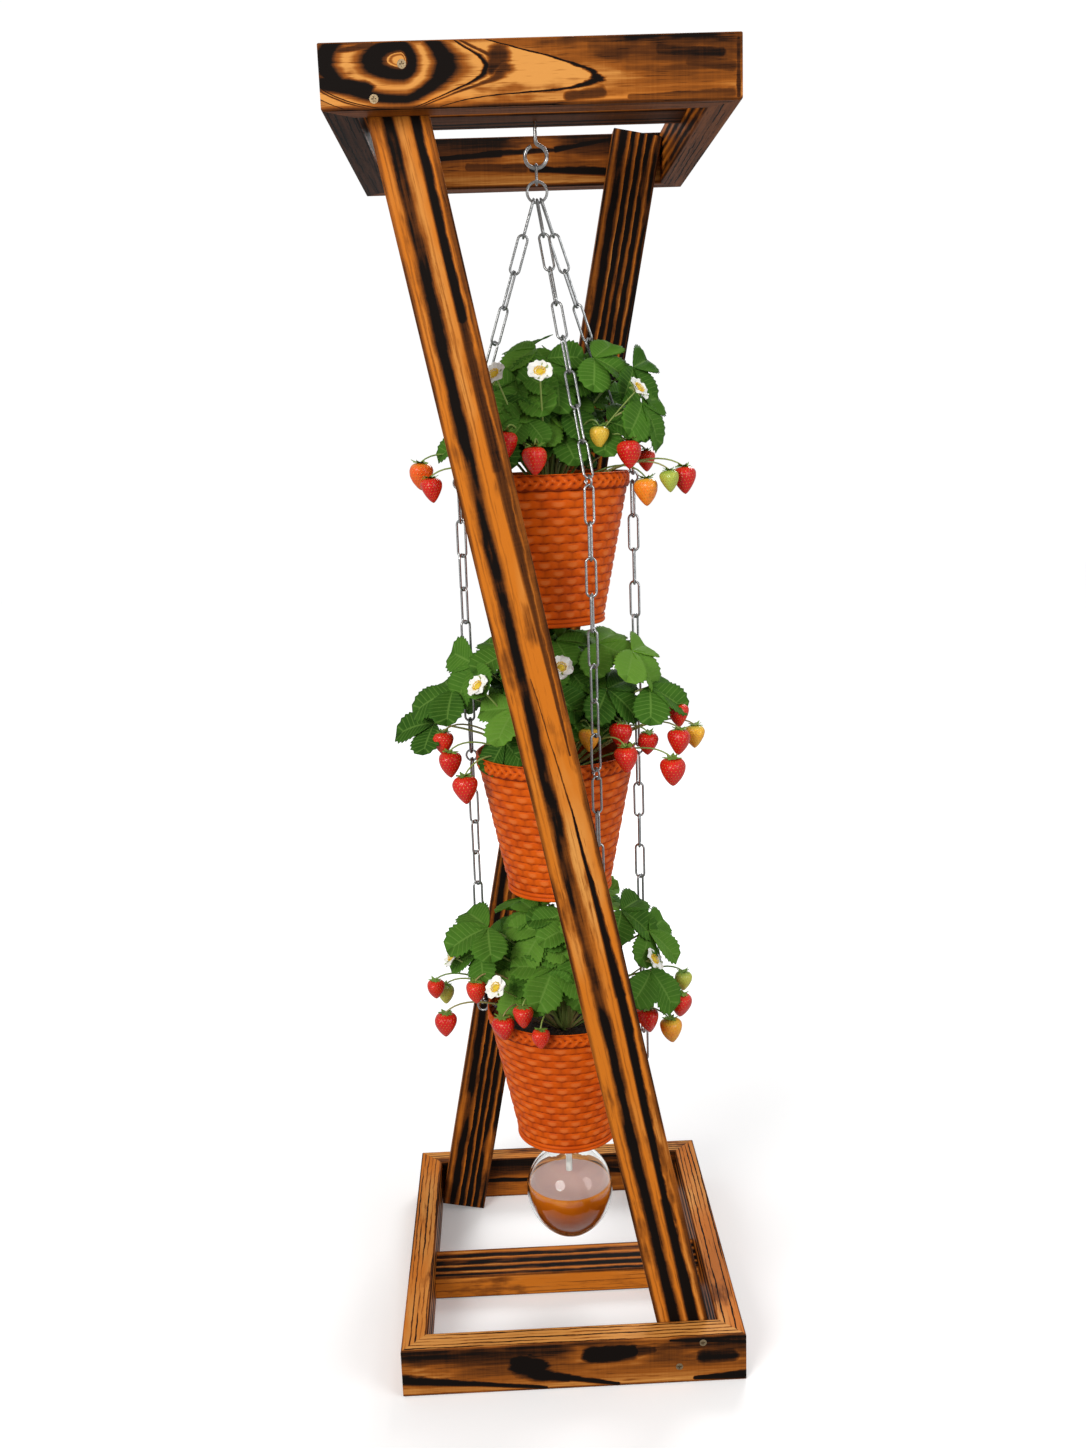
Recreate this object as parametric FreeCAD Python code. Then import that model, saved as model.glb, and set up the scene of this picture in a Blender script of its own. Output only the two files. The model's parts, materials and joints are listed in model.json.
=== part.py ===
import FreeCAD, Part
import math
import os

from FreeCAD import Matrix, Placement, Rotation, Vector

# Hanging plant stand, in millimetres: +X to the right, +Y to the back, +Z up.
# The origin is the middle of the base frame, on the floor.

# Timber frame
stand_width = 400.0
stand_depth = 440.0
stand_height = 1450.0
rail_width = 60.0
rail_thickness = 30.0
edge_round = 2.0
base_cross_offset = -12.0
top_cross_offset = -20.0
post_side_clearance = 0.5
post_floor_clearance = 1.0

# Wood screws
screw_diameter = 4.0
screw_length = 50.0
screw_head_diameter = 8.4
screw_head_height = 3.0
screw_tip_length = 6.0
screw_recess_width = 1.2
screw_recess_depth = 1.6
screw_recess_share = 0.55
screw_clearance = 0.1
cut_overrun = 2.0
post_screw_shares = ((0.25, 0.30), (-0.30, 0.70))
cross_screw_share = 0.25

# Screw eye under the top cross rail
hang_offset = 8.0
eye_wire = 4.0
eye_mean_radius = 12.0
eye_bend_radius = 6.0
eye_drop = 36.0
eye_thread_depth = 22.0
eye_loop_angle = 316.0

# Chain, hanger link and gather ring
chain_wire = 2.8
link_inside_length = 39.8
link_inside_width = 8.0
link_gap = 0.35
strand_links = 8
tail_links = 2
hanger_inside_length = 18.0
gather_wire = 3.0
gather_mean_radius = 11.0
gather_spread_angle = 26.0
strand_azimuths = {"left": 167.0, "front": -66.0, "right": 13.0}
gather_sides = {"left": -1.0, "front": 0.0, "right": 1.0}

# Rim eyes with nuts
rim_eye_wire = 2.6
rim_eye_mean_radius = 6.5
rim_eye_shank_diameter = 4.0
rim_eye_stand_off = 8.5
rim_eye_clearance = 0.15
nut_across_flats = 7.0
nut_thickness = 3.2
nut_wall_clearance = 0.4
shank_end = 2.0

# Basket-look pot
pot_height = 172.0
pot_band_radius = 95.5
pot_band_height = 18.0
pot_wall_radius = 92.5
pot_bottom_radius = 61.5
pot_foot_radius = 63.5
pot_foot_height = 10.0
pot_wall = 3.0
pot_floor = 4.0
pot_rows = 12
pot_row_swell = 1.4
drain_radius = 9.0
side_drain_radius = 4.0
side_drain_count = 4
side_drain_share = 0.55

# Soil
soil_depth = 134.0
soil_clearance = 0.3

# Strawberry plant
foliage_height = 140.0
leaflet_length = 50.0
leaflet_width = 43.0
leaflet_thickness = 0.9
leaflet_fold_angle = 16.0
leaflet_spread_angle = 74.0
side_leaflet_share = 0.92
leaf_joint_radius = 2.4
stalk_radius = 1.3
fruit_stalk_radius = 0.9
crown_radius = 13.0
crown_height = 11.0
stalk_root_share = 0.5
droop_inner_angle = 6.0
droop_outer_angle = 34.0
droop_reach_share = 1.4
berry_length = 31.0
berry_width = 27.0
berry_clearance = 0.3
calyx_radius = 9.0
calyx_thickness = 1.2
stalk_sides = 6
disc_sides = 12
fruit_knee_rise = 16.0
fruit_knee_share = 0.75
flower_petals = 6
petal_radius = 6.4
petal_circle_radius = 8.0
petal_thickness = 0.9
flower_heart_radius = 4.6
flower_heart_height = 2.6
flower_tilt_angle = 52.0

# Outline of half a leaflet from base to tip, as shares of its length and of its width
leaflet_shares = ((0.0, 0.0), (0.16, 0.27), (0.38, 0.46), (0.62, 0.50), (0.84, 0.40), (0.96, 0.22), (1.0, 0.0))

# Leaves of each tier: azimuth in degrees, reach of the leaf's joint as a share of the pot band's
# radius, its height over the rim as a share of the foliage height, and its size as a share
leaf_shares = {
    "upper": (
        (232, 0.20, 0.86, 0.90), (-140, 0.10, 0.98, 0.90), (-27, 0.66, 0.88, 1.00), (-19, 0.92, 0.78, 1.00),
        (-26, 1.08, 0.50, 1.10), (40, 0.98, 0.62, 1.00), (68, 0.72, 0.80, 1.10), (94, 0.94, 0.56, 1.00),
        (122, 0.78, 0.78, 1.00), (143, 0.94, 0.46, 1.00), (195, 0.94, 0.32, 0.90), (222, 0.70, 0.60, 1.00),
        (214, 0.72, 0.34, 1.00), (236, 0.50, 0.66, 1.10), (-30, 0.84, 0.38, 1.00),
    ),
    "middle": (
        (189, 1.26, 0.56, 1.10), (202, 1.02, 0.80, 1.10), (179, 1.50, 0.26, 1.00), (214, 0.62, 0.88, 1.00),
        (-26, 0.60, 0.92, 1.00), (-21, 1.02, 0.86, 1.10), (-20, 1.22, 0.56, 1.10), (-75, 0.16, 0.94, 0.90),
        (236, 0.26, 0.92, 1.00), (41, 1.04, 0.70, 1.00), (68, 0.78, 0.88, 1.00), (93, 1.04, 0.60, 1.00),
        (120, 0.82, 0.84, 1.00), (136, 1.08, 0.52, 1.10), (236, 0.86, 0.46, 1.00), (262, 0.58, 0.60, 1.10),
        (-36, 0.78, 0.56, 1.00),
    ),
    "lower": (
        (200, 1.00, 0.82, 1.10), (205, 0.50, 0.52, 1.10), (232, 0.42, 0.76, 1.00), (-42, 0.46, 0.92, 1.00),
        (-23, 0.82, 0.92, 1.00), (-20, 1.16, 0.74, 1.00), (-27, 1.22, 0.42, 1.10), (-95, 0.22, 0.88, 0.90),
        (42, 1.04, 0.66, 1.00), (68, 0.78, 0.86, 1.10), (94, 1.02, 0.58, 1.00), (120, 0.80, 0.82, 1.00),
        (136, 1.04, 0.50, 1.00), (196, 1.08, 0.62, 0.90), (257, 0.62, 0.50, 1.10), (282, 0.42, 0.62, 0.90),
    ),
}

# Berries of each tier: azimuth, reach of the calyx as a share of the band radius, height over the
# rim as a share of the foliage height, and size as a share
berry_shares = {
    "upper": (
        (-115, 1.12, 0.34, 1.00), (-98, 1.14, 0.22, 1.00), (-47, 0.88, 0.36, 0.80), (-36, 1.16, 0.24, 1.00),
        (-22, 1.24, -0.06, 1.00), (-3, 1.20, 0.16, 0.80), (-12, 1.64, 0.02, 1.00), (-22, 1.52, 0.00, 0.80),
        (187, 1.50, 0.12, 1.00), (197, 1.44, 0.00, 0.90),
    ),
    "middle": (
        (188, 1.40, 0.22, 0.90), (198, 1.38, 0.08, 1.00), (208, 1.28, -0.10, 1.10), (-38, 1.00, 0.30, 1.00),
        (-61, 0.82, 0.28, 0.90), (-49, 1.22, 0.14, 1.00), (-21, 1.20, 0.18, 0.90), (-4, 1.26, 0.54, 0.80),
        (-13, 1.54, 0.40, 0.90), (-21, 1.60, 0.22, 1.00), (-8, 1.74, 0.20, 0.90), (-28, 1.56, 0.00, 1.10),
    ),
    "lower": (
        (186, 1.66, 0.32, 0.80), (195, 1.58, 0.08, 1.00), (177, 1.54, 0.20, 0.80), (209, 1.28, 0.42, 0.90),
        (228, 1.18, 0.16, 1.00), (241, 1.12, 0.28, 0.90), (253, 1.14, 0.10, 0.80), (-31, 1.20, 0.10, 1.00),
        (-21, 1.42, -0.04, 1.00), (-13, 1.54, 0.14, 1.00), (-4, 1.56, 0.28, 0.80),
    ),
}

# Flowers of each tier: azimuth, reach and height as for the berries
flower_shares = {
    "upper": ((-94, 0.98, 0.76), (-34, 1.26, 0.62), (232, 0.92, 0.76)),
    "middle": ((221, 1.20, 0.66), (-86, 0.92, 0.80)),
    "lower": ((196, 1.44, 0.58), (-30, 1.28, 0.54), (226, 1.22, 0.42)),
}

# Berry outline from the calyx to the tip, as shares of half its width and of its length
berry_crown_shares = (0.66, -0.02)
berry_widest_shares = (1.00, -0.30)
berry_flank_shares = (0.76, -0.66)
berry_tip_shares = (0.30, -0.955)
berry_shoulder_shares = (0.90, -0.11)

# Drain collar, drip tube and globe under the lowest pot
collar_flange_radius = 27.0
collar_flange_thickness = 2.5
collar_sleeve_radius = 23.0
collar_sleeve_length = 17.0
collar_clearance = 0.3
collar_groove_height = 3.2
collar_lip_height = 2.6
globe_radius = 55.0
globe_wall = 2.5
globe_neck_radius = 17.0
globe_neck_length = 26.0
globe_foot_radius = 25.0
globe_foot_depth = 57.0
globe_lug_reach = 2.4
globe_lug_width = 7.0
globe_lug_height = 2.6
globe_lug_count = 2
globe_turn_angle = 60.0
water_rise = 10.0
water_clearance = 0.2
tube_radius = 4.0
tube_wall = 1.0
tube_clearance = 0.2
tube_reach = 58.0

tiers = ("upper", "middle", "lower")
strands = ("left", "front", "right")
right_angle = 90.0
half_turn = 180.0
full_turn = 360.0
parallel_share = 0.01

# Places worked out from the sizes above
top_frame_z = stand_height - rail_width
top_cross_z = stand_height - rail_thickness
side_rail_inside = stand_width / 2 - rail_thickness
front_inside = stand_depth / 2 - rail_thickness
eye_centre = Vector(hang_offset, top_cross_offset, top_cross_z - eye_drop)
hanger_top_z = eye_centre.z - eye_mean_radius + eye_wire / 2 + link_gap
hanger_bottom_z = hanger_top_z - hanger_inside_length
gather_top_z = hanger_bottom_z + link_gap + gather_wire / 2
gather_centre = Vector(hang_offset, top_cross_offset, gather_top_z - gather_mean_radius)
rim_eye_radius = pot_band_radius + rim_eye_stand_off
pot_eye_z = pot_height - pot_band_height / 2
nut_inner_radius = pot_wall_radius - pot_wall - nut_wall_clearance - nut_thickness
soil_top = pot_floor + soil_clearance + soil_depth
globe_neck_top = math.sqrt(globe_radius ** 2 - globe_neck_radius ** 2) + globe_neck_length
globe_hang_depth = globe_neck_top + collar_flange_thickness + collar_clearance


def polar(radius, azimuth, z=0.0):
    """A point at a radius and an azimuth in degrees round the Z axis."""
    angle = math.radians(azimuth)
    return Vector(radius * math.cos(angle), radius * math.sin(angle), z)


def unit(vector):
    return Vector(vector) / vector.Length


def fused(shapes):
    return shapes[0].multiFuse(shapes[1:]) if len(shapes) > 1 else shapes[0]


def revolved(edges):
    """A full turn about Z of the closed outline in the XZ plane."""
    return Part.Face(Part.Wire(edges)).revolve(Vector(), Vector(0, 0, 1), full_turn)


def outline(points):
    """Straight edges through (radius, z) points, closed back to the first."""
    corners = [Vector(radius, 0, z) for radius, z in points]
    return Part.makePolygon(corners + corners[:1]).Edges


def arc_about(centre, radius, start, end):
    """An arc in the XZ plane about a (radius, z) centre, between two angles in radians."""
    angles = (start, (start + end) / 2, end)
    points = [Vector(centre[0] + radius * math.cos(a), 0, centre[1] + radius * math.sin(a)) for a in angles]
    return Part.Arc(*points).toShape()


def line(start, end):
    return Part.LineSegment(start, end).toShape()


def tube_along(edges, radius):
    """A round bar whose centre line is the given run of edges."""
    path = Part.Wire(edges)
    first = edges[0]
    start = first.valueAt(first.FirstParameter)
    tangent = first.tangentAt(first.FirstParameter)
    ring = Part.Wire(Part.makeCircle(radius, start, tangent))
    return path.makePipeShell([ring], True, False)


def placed(shape, position, rotation=None):
    copy = shape.copy()
    copy.Placement = Placement(position, rotation or Rotation())
    return copy


def with_rounded_edges(board, direction):
    """Round the long edges of a board, those that run along the direction."""
    def runs_along(edge):
        return edge.tangentAt(edge.FirstParameter).cross(direction).Length < parallel_share

    return board.makeFillet(edge_round, [edge for edge in board.Edges if runs_along(edge)])


def mitred_rail(length):
    """A rail on edge, outer face on y = 0 and inner face towards +Y, with both ends cut at 45 degrees."""
    half = length / 2
    corners = [
        Vector(-half, 0, 0),
        Vector(half, 0, 0),
        Vector(half - rail_thickness, rail_thickness, 0),
        Vector(rail_thickness - half, rail_thickness, 0),
    ]
    plan = Part.Face(Part.makePolygon(corners + corners[:1]))
    return with_rounded_edges(plan.extrude(Vector(0, 0, rail_width)), Vector(1, 0, 0))


def frame_rails(prefix, z):
    """The four mitred rails of the base or top frame."""
    upright = Vector(0, 0, 1)
    long_rail = mitred_rail(stand_width)
    side_rail = mitred_rail(stand_depth)
    half_width = stand_width / 2
    half_depth = stand_depth / 2
    return {
        prefix + "_front_rail": placed(long_rail, Vector(0, -half_depth, z)),
        prefix + "_back_rail": placed(long_rail, Vector(0, half_depth, z), Rotation(upright, half_turn)),
        prefix + "_left_rail": placed(side_rail, Vector(-half_width, 0, z), Rotation(upright, -right_angle)),
        prefix + "_right_rail": placed(side_rail, Vector(half_width, 0, z), Rotation(upright, right_angle)),
    }


def cross_rail(offset, z):
    corner = Vector(-side_rail_inside, offset - rail_width / 2, z)
    board = Part.makeBox(2 * side_rail_inside, rail_width, rail_thickness, corner)
    return with_rounded_edges(board, Vector(1, 0, 0))


def post_lean():
    """Lean in degrees and length of a square-ended post that fits corner to corner in the frames."""
    width = 2 * (side_rail_inside - post_side_clearance)
    height = stand_height - post_floor_clearance
    lean = math.atan2(width, height)
    for _ in range(40):
        lean = math.atan2(width - rail_width * math.cos(2 * lean) / math.cos(lean), height)
    length = (height - rail_width * math.sin(lean)) / math.cos(lean)
    return math.degrees(lean), length


def post_placement(side):
    """Placement of the front post (side -1) or the rear post (side 1), from its middle."""
    lean, _ = post_lean()
    middle_z = (stand_height + post_floor_clearance) / 2
    middle = Vector(0, side * (front_inside - rail_thickness / 2), middle_z)
    return Placement(middle, Rotation(Vector(0, 1, 0), side * lean))


def post(side):
    _, length = post_lean()
    corner = Vector(-rail_width / 2, -rail_thickness / 2, -length / 2)
    board = Part.makeBox(rail_width, rail_thickness, length, corner)
    board = with_rounded_edges(board, Vector(0, 0, 1))
    board.Placement = post_placement(side)
    return board


def screw_body(grow, top):
    """A countersunk screw along -Z, its head flush with z = 0, grown by a clearance for its hole."""
    shank = screw_diameter / 2 + grow
    head = screw_head_diameter / 2 + grow
    length = screw_length + grow
    points = [
        (0, top),
        (head, top),
        (head, 0),
        (shank, -screw_head_height),
        (shank, screw_tip_length - length),
        (0, -length),
    ]
    return revolved(outline([point for i, point in enumerate(points) if i == 0 or point != points[i - 1]]))


def screw():
    slot = Part.makeBox(
        screw_head_diameter * screw_recess_share,
        screw_recess_width,
        screw_recess_depth + cut_overrun,
        Vector(-screw_head_diameter * screw_recess_share / 2, -screw_recess_width / 2, -screw_recess_depth),
    )
    across = placed(slot, Vector(), Rotation(Vector(0, 0, 1), right_angle))
    return screw_body(0, 0).cut([slot, across])


def driven(shape, places):
    """Copies of a screw or its hole, each at a (head, direction) place."""
    return [placed(shape, head, Rotation(Vector(0, 0, -1), direction)) for head, direction in places]


def corner_screw_places(z):
    reach = stand_depth / 2 - rail_thickness / 2
    return [
        (Vector(side * stand_width / 2, end * reach, z), Vector(-side, 0, 0))
        for side in (-1, 1)
        for end in (-1, 1)
    ]


def cross_screw_places(offset, z):
    spread = rail_width * cross_screw_share
    return [
        (Vector(side * stand_width / 2, offset + step * spread, z), Vector(-side, 0, 0))
        for side in (-1, 1)
        for step in (-1, 1)
    ]


def post_screw_places(side):
    """Two screws at each end of a post, through the front (side -1) or back rails."""
    _, length = post_lean()
    places = []
    for end in (-1, 1):
        for across_share, along_share in post_screw_shares:
            local = Vector(
                -end * side * across_share * rail_width, 0, end * (length / 2 - along_share * rail_width)
            )
            point = post_placement(side).multVec(local)
            point.y = side * stand_depth / 2
            places.append((point, Vector(0, -side, 0)))
    return places


def drilled(board, holes):
    """A board with the holes of the screws that reach it."""
    near = [hole for hole in holes if hole.BoundBox.intersect(board.BoundBox)]
    return board.cut(near) if near else board


def screw_eye():
    """A bent-wire eye: a shank driven up into the cross rail, bent aside into a round loop."""
    loop = eye_mean_radius
    turn = math.asin(eye_bend_radius / (loop + eye_bend_radius))
    bend_z = (loop + eye_bend_radius) * math.cos(turn)
    shank_top = eye_drop + eye_thread_depth
    bend_centre = (eye_bend_radius, bend_z)
    quarter = math.radians(right_angle)
    start = Vector(0, 0, shank_top)
    edges = [
        line(start, Vector(0, 0, bend_z)),
        arc_about(bend_centre, eye_bend_radius, 2 * quarter, 3 * quarter - turn),
        arc_about((0, 0), loop, quarter - turn, quarter - turn - math.radians(eye_loop_angle)),
    ]
    return placed(tube_along(edges, eye_wire / 2), eye_centre)


def eye_hole():
    depth = eye_thread_depth + screw_clearance + cut_overrun
    foot = Vector(eye_centre.x, eye_centre.y, top_cross_z - cut_overrun)
    return Part.makeCylinder(eye_wire / 2 + screw_clearance, depth, foot)


def oval_link(inside_length, inside_width, wire):
    """A welded link standing along Z in the XZ plane, centred on the origin."""
    reach = (inside_width + wire) / 2
    half = (inside_length - inside_width) / 2
    pieces = []
    for end in (-1, 1):
        section = Part.Face(Part.Wire(Part.makeCircle(wire / 2, Vector(reach, 0, end * half))))
        pieces.append(section.revolve(Vector(0, 0, end * half), Vector(0, -end, 0), half_turn))
        pieces.append(Part.makeCylinder(wire / 2, 2 * half, Vector(end * reach, 0, -half)))
    return fused(pieces)


def link_placement(centre, axis, normal):
    """Stand a link's length along the axis with its flat side facing the normal."""
    along = unit(axis) * -1
    side = normal.cross(along)
    return Placement(Matrix(
        side.x, normal.x, along.x, centre.x,
        side.y, normal.y, along.y, centre.y,
        side.z, normal.z, along.z, centre.z,
        0, 0, 0, 1,
    ))


def square_to(vector, axis):
    return unit(vector - axis * vector.dot(axis))


def strand(upper, upper_radius, lower, lower_radius, first_facing, last_facing):
    """Links from the wire centred on upper to the wire centred on lower, each a quarter turn on.

    The small twist left over is shared out, so that both end links face as asked.
    """
    axis = unit(lower - upper)
    length = (lower - upper).Length
    gap = (strand_links * link_inside_length - length - upper_radius - lower_radius) / (strand_links + 1)
    first = square_to(first_facing, axis)
    last = square_to(last_facing, axis)
    turn = math.degrees(math.atan2(first.cross(last).dot(axis), first.dot(last)))
    steps = strand_links - 1
    spare = (turn - right_angle * steps) % half_turn
    spare = spare - half_turn if spare > right_angle else spare
    link = oval_link(link_inside_length, link_inside_width, chain_wire)
    links = []
    for index in range(strand_links):
        along = index * (link_inside_length - gap) + link_inside_length / 2 - upper_radius - gap
        facing = Rotation(axis, index * (right_angle + spare / steps)).multVec(first)
        copy = link.copy()
        copy.Placement = link_placement(upper + axis * along, axis, facing)
        links.append(copy)
    return links


def hang(z):
    """The hanging line at a height."""
    return Vector(hang_offset, top_cross_offset, z)


def hanger_link():
    link = oval_link(hanger_inside_length, link_inside_width, chain_wire)
    middle = hang(hanger_top_z - hanger_inside_length / 2)
    return placed(link, middle, Rotation(Vector(0, 0, 1), right_angle))


def gather_ring():
    return Part.makeTorus(gather_mean_radius, gather_wire / 2, gather_centre, Vector(0, 1, 0))


def gather_seat(side):
    """Where a strand sits on the gather ring: the wire's centre and the wire's direction."""
    angle = math.radians(gather_sides[side] * gather_spread_angle)
    seat = gather_centre + Vector(math.sin(angle), 0, -math.cos(angle)) * gather_mean_radius
    return seat, Vector(math.cos(angle), 0, math.sin(angle))


def rim_eye_centre(side, tier):
    return hang(tier_eye_z(tier)) + polar(rim_eye_radius, strand_azimuths[side])


def strand_length(upper_radius):
    """Length between the wires at the two ends of a strand that hangs with the usual gaps."""
    links = strand_links * link_inside_length - (strand_links + 1) * link_gap
    return links - upper_radius - rim_eye_wire / 2


def tier_eye_z(tier):
    """Height of the rim eyes of a tier."""
    seat, _ = gather_seat("right")
    out = hang(seat.z) + polar(rim_eye_radius, strand_azimuths["right"]) - seat
    fall = math.sqrt(strand_length(gather_wire / 2) ** 2 - out.Length ** 2)
    step = strand_length(rim_eye_wire / 2) + 2 * rim_eye_mean_radius
    return seat.z - fall - rim_eye_mean_radius - tiers.index(tier) * step


def tier_pot_z(tier):
    """Height of the underside of a tier's pot."""
    return tier_eye_z(tier) - pot_height + pot_band_height / 2


def tier_strand(tier, side):
    outward = polar(1, strand_azimuths[side])
    drop = Vector(0, 0, rim_eye_mean_radius)
    lower = rim_eye_centre(side, tier) + drop
    if tier == tiers[0]:
        upper, facing = gather_seat(side)
        radius = gather_wire / 2
    else:
        upper = rim_eye_centre(side, tiers[tiers.index(tier) - 1]) - drop
        facing = outward
        radius = rim_eye_wire / 2
    return strand(upper, radius, lower, rim_eye_wire / 2, facing, outward)


def chain_tail():
    """Spare links that hang from the lowest right rim eye."""
    side = "right"
    link = oval_link(link_inside_length, link_inside_width, chain_wire)
    outward = polar(1, strand_azimuths[side])
    down = Vector(0, 0, -1)
    start = rim_eye_centre(side, tiers[-1]) + down * (rim_eye_mean_radius - rim_eye_wire / 2 - link_gap)
    links = []
    for index in range(tail_links):
        along = index * (link_inside_length - link_gap) + link_inside_length / 2
        facing = Rotation(down, index * right_angle).multVec(outward)
        copy = link.copy()
        copy.Placement = link_placement(start + down * along, down, facing)
        links.append(copy)
    return links


def rim_eye(azimuth):
    """An eye bolt: a ring in the upright radial plane and a shank through the rim, in the pot's frame."""
    centre = polar(rim_eye_radius, azimuth, pot_eye_z)
    ring = Part.makeTorus(rim_eye_mean_radius, rim_eye_wire / 2, centre, polar(1, azimuth + right_angle))
    tip = nut_inner_radius - shank_end
    start = polar(tip, azimuth, pot_eye_z)
    shank = Part.makeCylinder(
        rim_eye_shank_diameter / 2, rim_eye_radius - rim_eye_mean_radius - tip, start, polar(1, azimuth)
    )
    return fused([ring, shank])


def rim_nut(azimuth):
    corner_radius = nut_across_flats / math.sqrt(3)
    corners = [polar(corner_radius, index * full_turn / 6) for index in range(6)]
    block = Part.Face(Part.makePolygon(corners + corners[:1])).extrude(Vector(0, 0, nut_thickness))
    bore_radius = rim_eye_shank_diameter / 2 + screw_clearance
    bore = Part.makeCylinder(bore_radius, nut_thickness + 2 * cut_overrun, Vector(0, 0, -cut_overrun))
    facing = Rotation(Vector(0, 0, 1), polar(1, azimuth))
    return placed(block.cut(bore), polar(nut_inner_radius, azimuth, pot_eye_z), facing)


def pot():
    """The basket-look pot in its own frame: axis on Z, underside on z = 0."""
    band_z = pot_height - pot_band_height
    inside = pot_wall_radius - pot_wall
    rows = [
        (
            pot_bottom_radius + (pot_wall_radius - pot_bottom_radius) * index / pot_rows,
            pot_foot_height + (band_z - pot_foot_height) * index / pot_rows,
        )
        for index in range(pot_rows + 1)
    ]
    edges = [
        line(Vector(), Vector(pot_bottom_radius, 0, 0)),
        Part.Arc(
            Vector(pot_bottom_radius, 0, 0),
            Vector(pot_foot_radius, 0, pot_foot_height / 2),
            Vector(pot_bottom_radius, 0, pot_foot_height),
        ).toShape(),
    ]
    for low, high in zip(rows, rows[1:]):
        swell = Vector((low[0] + high[0]) / 2 + pot_row_swell, 0, (low[1] + high[1]) / 2)
        edges.append(Part.Arc(Vector(low[0], 0, low[1]), swell, Vector(high[0], 0, high[1])).toShape())
    corners = [
        Vector(pot_wall_radius, 0, band_z),
        Vector(pot_band_radius, 0, band_z),
        Vector(pot_band_radius, 0, pot_height),
        Vector(inside, 0, pot_height),
        Vector(inside, 0, band_z),
        Vector(pot_bottom_radius - pot_wall, 0, pot_floor),
        Vector(0, 0, pot_floor),
        Vector(),
    ]
    edges += [line(start, end) for start, end in zip(corners, corners[1:])]
    depth = pot_floor + 2 * cut_overrun
    below = Vector(0, 0, -cut_overrun)
    holes = [Part.makeCylinder(drain_radius, depth, below)]
    for index in range(side_drain_count):
        spot = polar(pot_bottom_radius * side_drain_share, index * full_turn / side_drain_count, -cut_overrun)
        holes.append(Part.makeCylinder(side_drain_radius, depth, spot))
    reach = pot_band_radius - inside + 2 * cut_overrun
    for azimuth in strand_azimuths.values():
        start = polar(inside - cut_overrun, azimuth, pot_eye_z)
        bore = rim_eye_shank_diameter / 2 + rim_eye_clearance
        holes.append(Part.makeCylinder(bore, reach, start, polar(1, azimuth)))
    return revolved(edges).cut(holes)


def inside_radius(z):
    """Radius of the pot's inner wall at a height in its own frame."""
    band_z = pot_height - pot_band_height
    bottom = pot_bottom_radius - pot_wall
    return bottom + (pot_wall_radius - pot_wall - bottom) * (z - pot_floor) / (band_z - pot_floor)


def soil():
    base = pot_floor + soil_clearance
    return revolved(outline([
        (0, base),
        (inside_radius(base) - 2 * soil_clearance, base),
        (inside_radius(soil_top) - 2 * soil_clearance, soil_top),
        (0, soil_top),
    ]))


def prism(start, end, radius, sides):
    """A many-sided bar or disc from one point to another."""
    corners = [polar(radius, index * full_turn / sides) for index in range(sides)]
    column = Part.Face(Part.makePolygon(corners + corners[:1])).extrude(Vector(0, 0, (end - start).Length))
    return placed(column, start, Rotation(Vector(0, 0, 1), end - start))


def leaflet(length, width):
    """A leaflet along +X from its base, folded up a little along the middle rib."""
    halves = []
    for side in (1, -1):
        corners = [Vector(shares[0] * length, side * shares[1] * width, 0) for shares in leaflet_shares]
        half = Part.Face(Part.makePolygon(corners + corners[:1])).extrude(Vector(0, 0, leaflet_thickness))
        half.rotate(Vector(), Vector(1, 0, 0), side * leaflet_fold_angle)
        halves.append(half)
    return fused(halves)


def trifoliate_leaf(size):
    """Three leaflets that meet at a joint on the origin."""
    middle = leaflet(leaflet_length * size, leaflet_width * size)
    bead = Vector(0, 0, leaf_joint_radius)
    pieces = [prism(bead * -1, bead, leaf_joint_radius, stalk_sides), middle]
    side_size = size * side_leaflet_share
    for side in (-1, 1):
        spread = Rotation(Vector(0, 0, 1), side * leaflet_spread_angle)
        pieces.append(placed(leaflet(leaflet_length * side_size, leaflet_width * side_size), Vector(), spread))
    return fused(pieces)


def stalk_root(azimuth):
    return polar(crown_radius * stalk_root_share, azimuth, soil_top + crown_height * stalk_root_share)


def stalk_end(azimuth, reach_share, height_share):
    return polar(reach_share * pot_band_radius, azimuth, pot_height + height_share * foliage_height)


def leaf_on_stalk(leaf, azimuth, reach_share, height_share):
    """A leaf that droops the more the further out it reaches, and its stalk from the crown."""
    joint = stalk_end(azimuth, reach_share, height_share)
    lean_share = min(reach_share / droop_reach_share, 1)
    droop = droop_inner_angle + (droop_outer_angle - droop_inner_angle) * lean_share
    turn = Rotation(Vector(0, 0, 1), azimuth).multiply(Rotation(Vector(0, 1, 0), droop))
    return [placed(leaf, joint, turn), prism(stalk_root(azimuth), joint, stalk_radius, stalk_sides)]


def fruit_stalk(azimuth, reach_share, height_share):
    """A thin stalk that rises from the crown, clears the rim and bends down to the calyx."""
    end = stalk_end(azimuth, reach_share, height_share)
    knee_z = max(pot_height, end.z) + fruit_knee_rise
    knee = polar(reach_share * pot_band_radius * fruit_knee_share, azimuth, knee_z)
    bead = Vector(0, 0, stalk_radius)
    return [
        prism(stalk_root(azimuth), knee, fruit_stalk_radius, stalk_sides),
        prism(knee - bead, knee + bead, stalk_radius, stalk_sides),
        prism(knee, end, fruit_stalk_radius, stalk_sides),
    ]


def berry(size):
    """A berry that hangs from z = 0 down to its tip."""
    half = berry_width * size / 2
    length = berry_length * size

    def point(shares):
        return Vector(shares[0] * half, 0, shares[1] * length)

    crown = point(berry_crown_shares)
    widest = point(berry_widest_shares)
    tip = point(berry_tip_shares)
    end = Vector(0, 0, -length)
    return revolved([
        line(Vector(), crown),
        Part.Arc(crown, point(berry_shoulder_shares), widest).toShape(),
        Part.Arc(widest, point(berry_flank_shares), tip).toShape(),
        line(tip, end),
        line(end, Vector()),
    ])


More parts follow.
